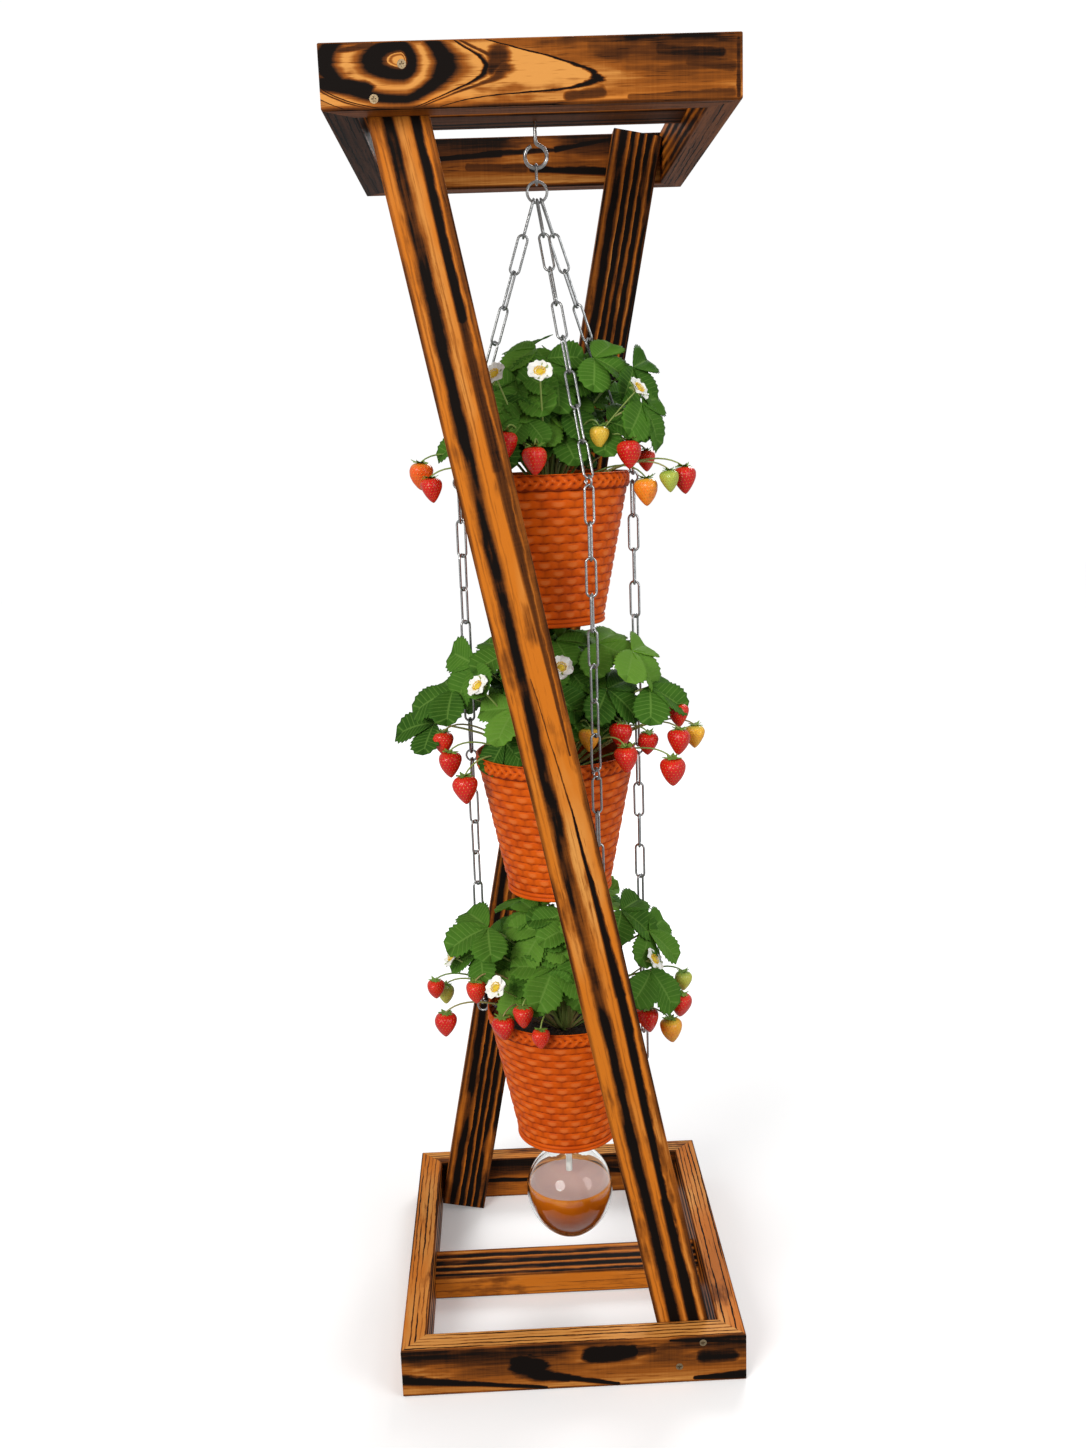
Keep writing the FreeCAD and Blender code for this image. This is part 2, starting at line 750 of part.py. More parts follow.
def flower():
    """An open flower that faces +Z, its back on z = 0."""
    pieces = [Part.makeCylinder(flower_heart_radius, flower_heart_height)]
    for index in range(flower_petals):
        spot = polar(petal_circle_radius, index * full_turn / flower_petals)
        pieces.append(Part.makeCylinder(petal_radius, petal_thickness, spot))
    return fused(pieces)


def plant(tier):
    """The green plant of a tier as one piece, with its berries and flowers, in the pot's frame."""
    ground = Vector(0, 0, soil_top)
    green = [prism(ground, ground + Vector(0, 0, crown_height), crown_radius, disc_sides)]
    leaves = {}
    for azimuth, reach_share, height_share, size_share in leaf_shares[tier]:
        if size_share not in leaves:
            leaves[size_share] = trifoliate_leaf(size_share)
        green += leaf_on_stalk(leaves[size_share], azimuth, reach_share, height_share)
    berries = []
    for azimuth, reach_share, height_share, size_share in berry_shares[tier]:
        end = stalk_end(azimuth, reach_share, height_share)
        under = end - Vector(0, 0, calyx_thickness)
        green.append(prism(under, end, calyx_radius * size_share, disc_sides))
        green += fruit_stalk(azimuth, reach_share, height_share)
        berries.append(placed(berry(size_share), under - Vector(0, 0, berry_clearance)))
    flowers = []
    for azimuth, reach_share, height_share in flower_shares[tier]:
        end = stalk_end(azimuth, reach_share, height_share)
        facing = Rotation(Vector(0, 0, 1), azimuth).multiply(Rotation(Vector(0, 1, 0), flower_tilt_angle))
        back = facing.multVec(Vector(0, 0, 1))
        front = end + back * calyx_thickness
        green.append(prism(end, front, flower_heart_radius, disc_sides))
        green.append(prism(stalk_root(azimuth), end, fruit_stalk_radius, stalk_sides))
        flowers.append(placed(flower(), front + back * berry_clearance, facing))
    return fused(green), berries, flowers


def collar():
    """Drain collar under the lowest pot, hanging from z = 0, with a spigot up into the drain hole."""
    neck = globe_neck_radius + collar_clearance
    groove = neck + globe_lug_reach
    bore = tube_radius + tube_clearance
    lip_z = collar_lip_height - collar_sleeve_length
    body = revolved(outline([
        (bore, -collar_flange_thickness),
        (neck, -collar_flange_thickness),
        (neck, lip_z + collar_groove_height),
        (groove, lip_z + collar_groove_height),
        (groove, lip_z),
        (neck, lip_z),
        (neck, -collar_sleeve_length),
        (collar_sleeve_radius, -collar_sleeve_length),
        (collar_sleeve_radius, -collar_flange_thickness),
        (collar_flange_radius, -collar_flange_thickness),
        (collar_flange_radius, 0),
        (drain_radius - collar_clearance, 0),
        (drain_radius - collar_clearance, pot_floor),
        (bore, pot_floor),
    ]))
    width = globe_lug_width + 2 * collar_clearance
    height = collar_lip_height + 2 * cut_overrun
    low = -collar_sleeve_length - cut_overrun
    reach = Part.makeCylinder(groove, height, Vector(0, 0, low))
    slots = []
    for index in range(globe_lug_count):
        slot = Part.makeBox(groove, width, height, Vector(0, -width / 2, low))
        turn = globe_turn_angle + index * full_turn / globe_lug_count
        slots.append(placed(slot.common(reach), Vector(), Rotation(Vector(0, 0, 1), turn)))
    return body.cut(slots)


def drip_tube():
    length = tube_reach + pot_floor
    outer = Part.makeCylinder(tube_radius, length, Vector(0, 0, -tube_reach))
    low = Vector(0, 0, -tube_reach - cut_overrun)
    return outer.cut(Part.makeCylinder(tube_radius - tube_wall, length + 2 * cut_overrun, low))


def globe_edges(inset, top_z):
    """Outline of the globe's outer face, or of a face inset from it, from the foot up to a height."""
    drawn_in = globe_radius - globe_foot_radius
    flank = (globe_foot_depth ** 2 + drawn_in ** 2) / drawn_in / 2
    centre = (globe_radius - flank, 0)
    foot_z = inset - globe_foot_depth
    start = math.asin(foot_z / (flank - inset))
    ball = globe_radius - inset
    neck = globe_neck_radius - inset
    end = min(math.asin(min(top_z / ball, 1)), math.acos(neck / ball))
    lower = arc_about(centre, flank - inset, start, 0)
    upper = arc_about((0, 0), ball, 0, end)
    return lower, upper


def globe():
    """The globe with its widest circle on z = 0, an open neck and two lugs that lock in the collar."""
    top = globe_neck_top
    lower, upper = globe_edges(0, top)
    lower_in, upper_in = globe_edges(globe_wall, top)
    foot = lower.valueAt(lower.FirstParameter)
    foot_in = lower_in.valueAt(lower_in.FirstParameter)
    shoulder = upper.valueAt(upper.LastParameter)
    shoulder_in = upper_in.valueAt(upper_in.LastParameter)
    rim = Vector(globe_neck_radius, 0, top)
    rim_in = Vector(globe_neck_radius - globe_wall, 0, top)
    base = Vector(0, 0, foot.z)
    base_in = Vector(0, 0, foot_in.z)
    shell = revolved([
        line(base, foot), lower, upper, line(shoulder, rim), line(rim, rim_in), line(rim_in, shoulder_in),
        upper_in, lower_in, line(foot_in, base_in), line(base_in, base),
    ])
    lug_z = globe_hang_depth + collar_lip_height - collar_sleeve_length + collar_clearance
    reach = globe_neck_radius + globe_lug_reach - collar_clearance
    ring = Part.makeCylinder(reach, globe_lug_height, Vector(0, 0, lug_z)).cut(
        Part.makeCylinder(globe_neck_radius - globe_wall / 2, globe_lug_height, Vector(0, 0, lug_z))
    )
    lugs = []
    for index in range(globe_lug_count):
        bar = Part.makeBox(reach, globe_lug_width, globe_lug_height, Vector(0, -globe_lug_width / 2, lug_z))
        bar.rotate(Vector(), Vector(0, 0, 1), index * full_turn / globe_lug_count)
        lugs.append(ring.common(bar))
    return fused([shell] + lugs)


def globe_water():
    inset = globe_wall + water_clearance
    lower, upper = globe_edges(inset, water_rise)
    foot = lower.valueAt(lower.FirstParameter)
    surface = upper.valueAt(upper.LastParameter)
    base = Vector(0, 0, foot.z)
    middle = Vector(0, 0, surface.z)
    return revolved([line(base, foot), lower, upper, line(surface, middle), line(middle, base)])


def timber_nodes():
    """Rails, posts and cross rails, drilled for their screws, and the screws themselves."""
    boards = frame_rails("base", 0)
    boards.update(frame_rails("top", top_frame_z))
    boards["base_cross_rail"] = cross_rail(base_cross_offset, 0)
    boards["top_cross_rail"] = cross_rail(top_cross_offset, top_cross_z)
    boards["front_post"] = post(-1)
    boards["rear_post"] = post(1)
    half_thickness = rail_thickness / 2
    places = {
        "base_corner_screws": corner_screw_places(rail_width / 2),
        "top_corner_screws": corner_screw_places(top_frame_z + rail_width / 2),
        "cross_rail_screws": cross_screw_places(base_cross_offset, half_thickness)
        + cross_screw_places(top_cross_offset, stand_height - half_thickness),
        "front_post_screws": post_screw_places(-1),
        "rear_post_screws": post_screw_places(1),
    }
    all_places = [place for group in places.values() for place in group]
    holes = driven(screw_body(screw_clearance, cut_overrun), all_places) + [eye_hole()]
    nodes = {name: drilled(board, holes) for name, board in boards.items()}
    for name, group in places.items():
        nodes[name] = Part.makeCompound(driven(screw(), group))
    return nodes


def tier_nodes(tier):
    """The strands, rim eyes, pot, soil and plant of one tier."""
    nodes = {tier + "_chain_" + side: Part.makeCompound(tier_strand(tier, side)) for side in strands}
    green, berries, flowers = plant(tier)
    azimuths = [strand_azimuths[side] for side in strands]
    own_frame = {
        "pot": pot(),
        "soil": soil(),
        "rim_eyes": Part.makeCompound([rim_eye(azimuth) for azimuth in azimuths]),
        "rim_nuts": Part.makeCompound([rim_nut(azimuth) for azimuth in azimuths]),
        "leaves": green,
        "berries": Part.makeCompound(berries),
        "flowers": Part.makeCompound(flowers),
    }
    for name, shape in own_frame.items():
        nodes[tier + "_" + name] = placed(shape, hang(tier_pot_z(tier)))
    return nodes


def main():
    nodes = timber_nodes()
    nodes["screw_eye"] = screw_eye()
    nodes["hanger_link"] = hanger_link()
    nodes["gather_ring"] = gather_ring()
    for tier in tiers:
        nodes.update(tier_nodes(tier))
    nodes["chain_tail"] = Part.makeCompound(chain_tail())
    under_pot = hang(tier_pot_z(tiers[-1]))
    nodes["drain_collar"] = placed(collar(), under_pot)
    nodes["drip_tube"] = placed(drip_tube(), under_pot)
    globe_middle = under_pot - Vector(0, 0, globe_hang_depth)
    nodes["globe"] = placed(globe(), globe_middle)
    nodes["globe_water"] = placed(globe_water(), globe_middle)
    os.makedirs("parts", exist_ok=True)
    for name, shape in nodes.items():
        shape.exportStep("parts/" + name + ".step")


main()
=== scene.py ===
import json
import math
import random
from functools import partialmethod

import bpy
import numpy as np
from mathutils import Euler, Matrix, Vector
from mathutils import noise as simplex


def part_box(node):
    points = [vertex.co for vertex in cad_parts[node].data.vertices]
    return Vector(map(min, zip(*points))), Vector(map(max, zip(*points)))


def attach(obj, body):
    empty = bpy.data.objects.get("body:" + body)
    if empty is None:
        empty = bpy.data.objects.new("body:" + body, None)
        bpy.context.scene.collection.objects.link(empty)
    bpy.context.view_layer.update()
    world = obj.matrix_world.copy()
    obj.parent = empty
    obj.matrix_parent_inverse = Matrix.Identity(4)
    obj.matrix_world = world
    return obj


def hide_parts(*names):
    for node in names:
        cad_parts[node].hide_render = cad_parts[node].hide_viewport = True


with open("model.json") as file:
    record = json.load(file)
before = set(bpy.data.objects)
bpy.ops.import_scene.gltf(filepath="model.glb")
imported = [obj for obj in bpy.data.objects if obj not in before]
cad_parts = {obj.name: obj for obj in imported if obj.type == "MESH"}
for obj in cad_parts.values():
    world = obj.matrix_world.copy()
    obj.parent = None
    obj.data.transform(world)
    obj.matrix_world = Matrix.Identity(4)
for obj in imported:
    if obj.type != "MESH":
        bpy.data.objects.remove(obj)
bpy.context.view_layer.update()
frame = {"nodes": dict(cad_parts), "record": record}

MM = 0.001
TIERS = ("upper", "middle", "lower")
nodes = frame["nodes"]


# Node trees
class Tree:
    """Short calls for building a procedural material."""

    def __init__(self, name):
        self.material = bpy.data.materials.new(name)
        self.material.use_nodes = True
        self.tree = self.material.node_tree
        self.shader = self.tree.nodes["Principled BSDF"]

    def put(self, socket, value):
        if isinstance(value, bpy.types.NodeSocket):
            self.tree.links.new(value, socket)
        elif value is not None:
            if socket.type == "RGBA" and len(value) == 3:
                value = (*value, 1.0)
            socket.default_value = value

    def add(self, kind, inputs=(), out=0, **settings):
        node = self.tree.nodes.new("ShaderNode" + kind)
        for key, value in settings.items():
            setattr(node, key, value)
        for key, value in dict(inputs).items():
            self.put(node.inputs[key], value)
        return node.outputs[out]

    def set(self, **values):
        for key, value in values.items():
            self.put(self.shader.inputs[key.replace("_", " ")], value)

    def calc(self, op, a, b=None, c=None, clamp=False):
        inputs = {i: v for i, v in enumerate((a, b, c)) if v is not None}
        return self.add("Math", inputs, operation=op, use_clamp=clamp)

    plus = partialmethod(calc, "ADD")
    minus = partialmethod(calc, "SUBTRACT")
    times = partialmethod(calc, "MULTIPLY")
    times_plus = partialmethod(calc, "MULTIPLY_ADD")
    larger = partialmethod(calc, "MAXIMUM")

    def distance(self, a, b):
        """Square root of a squared plus b squared."""
        return self.calc("SQRT", self.plus(self.times(a, a), self.times(b, b)))

    def tone(self):
        """The value that a piece keeps at each vertex."""
        return self.add("Attribute", out="Fac", attribute_name="tone")

    def facing_up(self):
        return self.split(self.add("NewGeometry", out="Normal"))[2]

    def object_point(self):
        return self.add("TexCoord", out="Object")

    def uv(self):
        return self.split(self.add("TexCoord", out="UV"))

    def local(self, place, turn):
        """Object coordinates seen from a board's own frame."""
        inputs = {"Vector": self.object_point(), "Location": place, "Rotation": turn}
        return self.add("Mapping", inputs, vector_type="TEXTURE")

    def scaled(self, vector, scale, shift=(0, 0, 0)):
        return self.add("Mapping", {"Vector": vector, "Scale": scale, "Location": shift})

    def split(self, vector):
        node = self.tree.nodes.new("ShaderNodeSeparateXYZ")
        self.put(node.inputs[0], vector)
        return node.outputs[0], node.outputs[1], node.outputs[2]

    def noise(self, vector, scale, detail, rough, distortion=0.0):
        return self.add("TexNoise", {
            "Vector": vector, "Scale": scale, "Detail": detail, "Roughness": rough,
            "Distortion": distortion})

    def mottle(self, scale, detail=3.0, rough=0.6):
        """Noise over the piece itself."""
        return self.noise(self.object_point(), scale, detail, rough)

    def cells(self, vector, scale):
        return self.add("TexVoronoi", {"Vector": vector, "Scale": scale})

    def span(self, value, low, high, to_low=0.0, to_high=1.0, smooth=True):
        inputs = {"Value": value, "From Min": low, "From Max": high, "To Min": to_low, "To Max": to_high}
        return self.add("MapRange", inputs, interpolation_type="SMOOTHSTEP" if smooth else "LINEAR")

    def ramp(self, value, stops):
        node = self.tree.nodes.new("ShaderNodeValToRGB")
        self.put(node.inputs[0], value)
        points = node.color_ramp.elements
        while len(points) < len(stops):
            points.new(0.5)
        for point, (place, _) in zip(points, stops):
            point.position = place
        for point, (_, colour) in zip(points, stops):
            point.color = (*colour, 1.0)
        return node.outputs[0]

    def mix(self, share, a, b):
        node = self.tree.nodes.new("ShaderNodeMix")
        node.data_type = "RGBA"
        self.put(node.inputs[0], share)
        self.put(node.inputs[6], a)
        self.put(node.inputs[7], b)
        return node.outputs[2]

    def bump(self, height, strength, distance):
        return self.add("Bump", {"Height": height, "Strength": strength, "Distance": distance})


def paint(obj, tree):
    obj.data.materials.clear()
    obj.data.materials.append(tree.material)


# Meshes
def mesh_piece(name, verts, faces, trees, slots=None, uvs=None, tones=None, smooth=True):
    mesh = bpy.data.meshes.new(name)
    mesh.from_pydata([tuple(v) for v in verts], [], [tuple(f) for f in faces])
    for tree in trees:
        mesh.materials.append(tree.material)
    if slots is not None:
        mesh.polygons.foreach_set("material_index", np.asarray(slots, np.int32))
    if smooth:
        mesh.polygons.foreach_set("use_smooth", np.ones(len(mesh.polygons), bool))
    if uvs is not None:
        layer = mesh.uv_layers.new(name="UVMap")
        index = np.zeros(len(mesh.loops), np.int32)
        mesh.loops.foreach_get("vertex_index", index)
        layer.data.foreach_set("uv", np.asarray(uvs, np.float32)[index].ravel())
    if tones is not None:
        mark = mesh.attributes.new("tone", "FLOAT", "POINT")
        mark.data.foreach_set("value", np.asarray(tones, np.float32))
    mesh.update()
    obj = bpy.data.objects.new(name, mesh)
    bpy.context.scene.collection.objects.link(obj)
    return obj


class Heap:
    """Verts and faces gathered from many small forms into one mesh."""

    def __init__(self):
        self.verts, self.faces, self.slots, self.uvs, self.tones = [], [], [], [], []
        self.count = 0

    def add(self, verts, faces, slot=0, uvs=None, tone=0.0):
        verts = np.asarray(verts, float)
        self.verts.append(verts)
        self.faces += [tuple(i + self.count for i in face) for face in faces]
        self.slots += [slot] * len(faces)
        self.uvs.append(np.zeros((len(verts), 2)) if uvs is None else np.asarray(uvs, float))
        self.tones.append(np.broadcast_to(np.asarray(tone, float), (len(verts),)))
        self.count += len(verts)

    def piece(self, name, trees, smooth=True):
        return mesh_piece(
            name, np.concatenate(self.verts), self.faces, trees, self.slots,
            np.concatenate(self.uvs), np.concatenate(self.tones), smooth,
        )


def grid_faces(rows, columns, wrap=False):
    """Quads of a grid of rows by columns points, closed round if wrap."""
    faces = []
    for row in range(rows - 1):
        low, high = row * columns, (row + 1) * columns
        for c in range(columns if wrap else columns - 1):
            after = (c + 1) % columns
            faces.append((low + c, low + after, high + after, high + c))
    return faces


def ring_angles(count):
    return np.linspace(0, math.tau, count, endpoint=False)


def lathe(profile, columns, centre):
    """A surface of revolution through (radius, z) points, bottom up."""
    angles = ring_angles(columns)
    x, y, base = centre
    verts = [(x + r * math.cos(a), y + r * math.sin(a), base + z) for r, z in profile for a in angles]
    return verts, grid_faces(len(profile), columns, True)


def swept(points, radii, sides):
    """A tube along points, with its own radius at each."""
    points = np.asarray(points, float)
    tangents = np.gradient(points, axis=0)
    tangents /= np.linalg.norm(tangents, axis=1)[:, None]
    guide = np.array((0.0, 0.0, 1.0)) if abs(tangents[0][2]) < 0.9 else np.array((1.0, 0.0, 0.0))
    verts = []
    for point, tangent, radius in zip(points, tangents, radii):
        side = np.cross(tangent, guide)
        side /= np.linalg.norm(side)
        guide = np.cross(side, tangent)
        for k in range(sides):
            angle = math.tau * k / sides
            verts.append(point + radius * (math.cos(angle) * side + math.sin(angle) * guide))
    faces = grid_faces(len(points), sides, True)
    faces.append(tuple(range(sides - 1, -1, -1)))
    faces.append(tuple((len(points) - 1) * sides + k for k in range(sides)))
    return np.array(verts), faces


def bowed(start, knee, end, count):
    """Points on a quadratic curve drawn towards the knee."""
    t = np.linspace(0, 1, count)[:, None]
    start, knee, end = (np.asarray(p, float) for p in (start, knee, end))
    return (1 - t) ** 2 * start + 2 * t * (1 - t) * knee + t ** 2 * end


# Flame-charred, brushed and varnished softwood
HONEY, AMBER, TOAST = (0.6, 0.262, 0.06), (0.52, 0.148, 0.012), (0.26, 0.072, 0.008)
BROWN, CHAR = (0.078, 0.022, 0.004), (0.0046, 0.0026, 0.0018)
BOARD_HALF, BOARD_DEEP = 0.03, 0.015
LANE_HALF, GRAIN_SLANT, STROKE_SLANT, RIDGE_PITCH = 40.0, 0.8, 0.5, 0.0056
KNOT_SPAN, KNOT_RISE, KNOT_RUN = 60.0, 46.0, 27.0
MATT = 0.06
# Places across a stripe in half widths, and the share of its strength there
STRIPE_EDGES = ((-2.5, 0.0), (-1.3, 0.45), (-0.6, 1.0), (0.6, 1.0), (1.2, 0.48), (2.2, 0.0))


def stripe_stops(stripes, low, high):
    """Ramp stops for char stripes at (place, half width, strength), in mm, over low to high."""
    stops = [(0.0, 0.0)]
    for place, half, strength in sorted(stripes):
        for edge, share in STRIPE_EDGES:
            spot = (place + edge * half - low) / (high - low)
            stops.append((min(max(spot, stops[-1][0] + 0.001), 1.0), strength * share))
    return [(spot, (level,) * 3) for spot, level in stops]


def stroke(t, along, across, start, end, halves, strength, ragged):
    """Char level of a tapered stroke between two (along, across) places of a board, in mm."""
    (l0, w0), (l1, w1) = start, end
    run, rise = (l1 - l0) * MM, (w1 - w0) * MM
    from_l = t.minus(along, l0 * MM)
    from_w = t.minus(across, w0 * MM)
    share = t.times_plus(from_l, run, t.times(from_w, rise))
    share = t.calc("DIVIDE", share, run * run + rise * rise, clamp=True)
    off_l = t.times_plus(share, -run, from_l)
    off_w = t.times_plus(share, -rise, from_w)
    far = t.distance(off_l, off_w)
    half = t.times_plus(share, (halves[1] - halves[0]) * MM, halves[0] * MM)
    far = t.plus(t.calc("DIVIDE", far, half), ragged)
    return t.span(far, 0.5, 1.75, strength, 0.0)


def knot_level(t, along, across, sway, knot):
    """Char level of growth rings round a knot that stretch to a point along the board, and their zone."""
    (l0, w0), rings, apex = knot
    out = t.minus(along, l0 * MM)
    right = t.larger(out, 0.0)
    fast = t.minus(1.0, t.calc("EXPONENT", t.calc("DIVIDE", right, -KNOT_RUN * MM)))
    reach = t.times_plus(fast, KNOT_RISE * MM, t.times(right, 0.045))
    reach = t.plus(reach, t.times(t.calc("MINIMUM", out, 0.0), -0.52))
    up = t.times_plus(right, 0.109, t.minus(across, w0 * MM))
    up = t.times(up, 1.1)
    size = t.distance(reach, up)
    size = t.times_plus(sway, 0.24, size)
    level = t.ramp(t.span(size, 0.0, KNOT_SPAN * MM, smooth=False), stripe_stops(rings, 0.0, KNOT_SPAN))
    edge = t.calc("ABSOLUTE", t.minus(size, apex * MM))
    level = t.larger(level, t.span(edge, 0.15 * MM, 0.55 * MM, 1.0, 0.0))
    return level, t.span(size, apex * MM, (apex + 0.4) * MM, 1.0, 0.0)


def timber(name, place, turn, face, seed, stripes=(), strokes=(), knot=None, stop=None,
           burn=0.0, wander=6.0, warm=0.5, haze=0.5, ridged=0.9):
    """Material of one board, with its grain along the board's own X.

    face is the wide face that carries the marks, 1 or -1. The stripes, strokes, knot and
    stop, where the stripes begin, are in mm. burn chars the whole board, haze browns it in clouds
    and ridged chars its narrow faces. wander is the sway of the grain in mm, warm the share of amber.
    """
    t = Tree(name)
    point = t.local(place, turn)
    along, across, deep = t.split(point)
    shift = (seed * 1.37, seed * 0.71, seed * 2.13)
    other_shift = shift[::-1]

    def grain(length, cross, detail, rough, offset=shift):
        return t.noise(t.scaled(point, (length, cross, cross), offset), 1.0, detail, rough)

    slow = t.minus(grain(2.4, 6, 2.0, 0.5), 0.5)
    quick = t.minus(grain(14, 60, 4.0, 0.62), 0.5)
    sway = t.times_plus(quick, wander * 1.1 * MM, t.times(slow, wander * 2.2 * MM))
    blot = t.minus(grain(38, 120, 4.0, 0.62, other_shift), 0.5)
    sway = t.times_plus(blot, 4.2 * MM, sway)
    lane = t.plus(across, t.times_plus(deep, GRAIN_SLANT, sway))
    lane = t.minus(lane, GRAIN_SLANT * face * BOARD_DEEP)
    stops = stripe_stops(stripes, -LANE_HALF, LANE_HALF)
    char = t.ramp(t.span(lane, -LANE_HALF * MM, LANE_HALF * MM, smooth=False), stops)
    patch = grain(8.5, 34, 3.0, 0.55, other_shift)
    char = t.times(char, t.span(patch, 0.32, 0.54, 0.46, 1.0))
    if stop is not None:
        char = t.times(char, t.span(along, (stop - 5) * MM, (stop + 7) * MM))
    if knot:
        rings, zone = knot_level(t, along, across, sway, knot)
        char = t.times_plus(rings, zone, t.times(char, t.minus(1.0, zone)))
    ragged = t.times_plus(blot, 0.8, quick)
    bent = t.times_plus(sway, 0.6, t.times_plus(deep, STROKE_SLANT, across))
    bent = t.minus(bent, STROKE_SLANT * face * BOARD_DEEP)
    for mark in strokes:
        char = t.larger(char, stroke(t, along, bent, *mark, ragged))
    # Brushed ridges run close together on the narrow faces
    off_middle = t.calc("ABSOLUTE", across)
    narrow = t.span(off_middle, BOARD_HALF - 1.8 * MM, BOARD_HALF - 0.3 * MM)
    wave = t.times(t.times_plus(sway, 0.8, deep), math.tau / RIDGE_PITCH)
    ridge = t.span(t.calc("SINE", wave), 0.25, 0.95)
    streak = grain(5, 170, 3.0, 0.6)
    ridge = t.times(t.times(narrow, ridge), t.span(streak, 0.38, 0.6, 0.12, ridged))
    char = t.larger(t.times(char, t.minus(1.0, narrow)), ridge)
    # Smoke: brown clouds and darker arrises, and painted shade that darkens the undersides
    smoke_and_shade = t.span(grain(10, 30, 4.0, 0.6), 0.48, 0.76, 0.0, haze)
    arris = t.span(off_middle, BOARD_HALF - 6.5 * MM, BOARD_HALF - 0.4 * MM)
    arris = t.times(arris, t.span(t.calc("ABSOLUTE", deep), BOARD_DEEP - 3.2 * MM, BOARD_DEEP - 0.2 * MM))
    smoke_and_shade = t.larger(smoke_and_shade, t.times(arris, t.span(patch, 0.3, 0.6, 0.3, 0.72)))
    # Painted shade: faces that turn downwards are darkened
    smoke_and_shade = t.larger(smoke_and_shade, t.span(t.facing_up(), -0.9, -0.4, 0.44, 0.0))
    level = t.plus(t.larger(char, smoke_and_shade), burn, clamp=True)
    # Fibres along the grain, fine saw marks across it, and flecks
    fibre = grain(9, 420, 3.0, 0.65)
    saw = grain(460, 12, 2.0, 0.5)
    fleck = t.span(grain(36, 900, 1.0, 0.5), 0.62, 0.74, 0.0, 0.2)
    level = t.times_plus(t.minus(fibre, 0.5), 0.3, level)
    level = t.times_plus(t.minus(streak, 0.45), 0.46, level)
    level = t.times_plus(t.minus(saw, 0.5), t.span(level, 0.1, 0.5, 0.02, 0.11), level)
    level = t.plus(level, fleck, clamp=True)
    hue = t.plus(grain(5, 18, 3.0, 0.55), warm - 0.5)
    pale = t.mix(t.span(hue, 0.38, 0.64), HONEY, AMBER)
    colour = t.mix(t.span(level, 0.06, 0.38), pale, TOAST)
    colour = t.mix(t.span(level, 0.3, 0.64), colour, BROWN)
    colour = t.mix(t.span(level, 0.58, 0.88), colour, CHAR)
    height = t.times_plus(fibre, 0.5, t.times(level, -0.55))
    t.set(Base_Color=colour, Roughness=t.span(level, 0.0, 1.0, 0.4, 0.6))
    t.set(Normal=t.bump(height, 0.5, 0.001), Specular_IOR_Level=MATT)
    return t


def middle(node):
    low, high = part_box(node)
    return (low + high) / 2


def axes_turn(along, across):
    along, across = Vector(along).normalized(), Vector(across).normalized()
    return Matrix((along, across, along.cross(across))).transposed().to_euler()


def lean_of(post):
    """Lean of a square-ended post from the box that holds it."""
    low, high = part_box(post)
    width, height, board = high.x - low.x, high.z - low.z, 2 * BOARD_HALF
    lean = math.atan2(width, height)
    for _ in range(40):
        lean = math.atan2(width - board * math.cos(2 * lean) / math.cos(lean), height)
    return lean


lean = lean_of("front_post")
sine, cosine = math.sin(lean), math.cos(lean)
X, Y, Z = (1, 0, 0), (0, 1, 0), (0, 0, 1)
wide_x, wide_y, flat_x = axes_turn(X, Z), axes_turn(Y, Z), axes_turn(X, Y)
left_lean = axes_turn((-sine, 0, cosine), (cosine, 0, sine))
right_lean = axes_turn((sine, 0, cosine), (cosine, 0, -sine))
# Rings of the knot: distance, half width and strength
knot_rings = ((5.0, 0.7, 0.35), (14.0, 5.6, 1.0), (37.3, 4.1, 1.0), (46.6, 0.55, 1.0), (48.6, 0.5, 0.62))
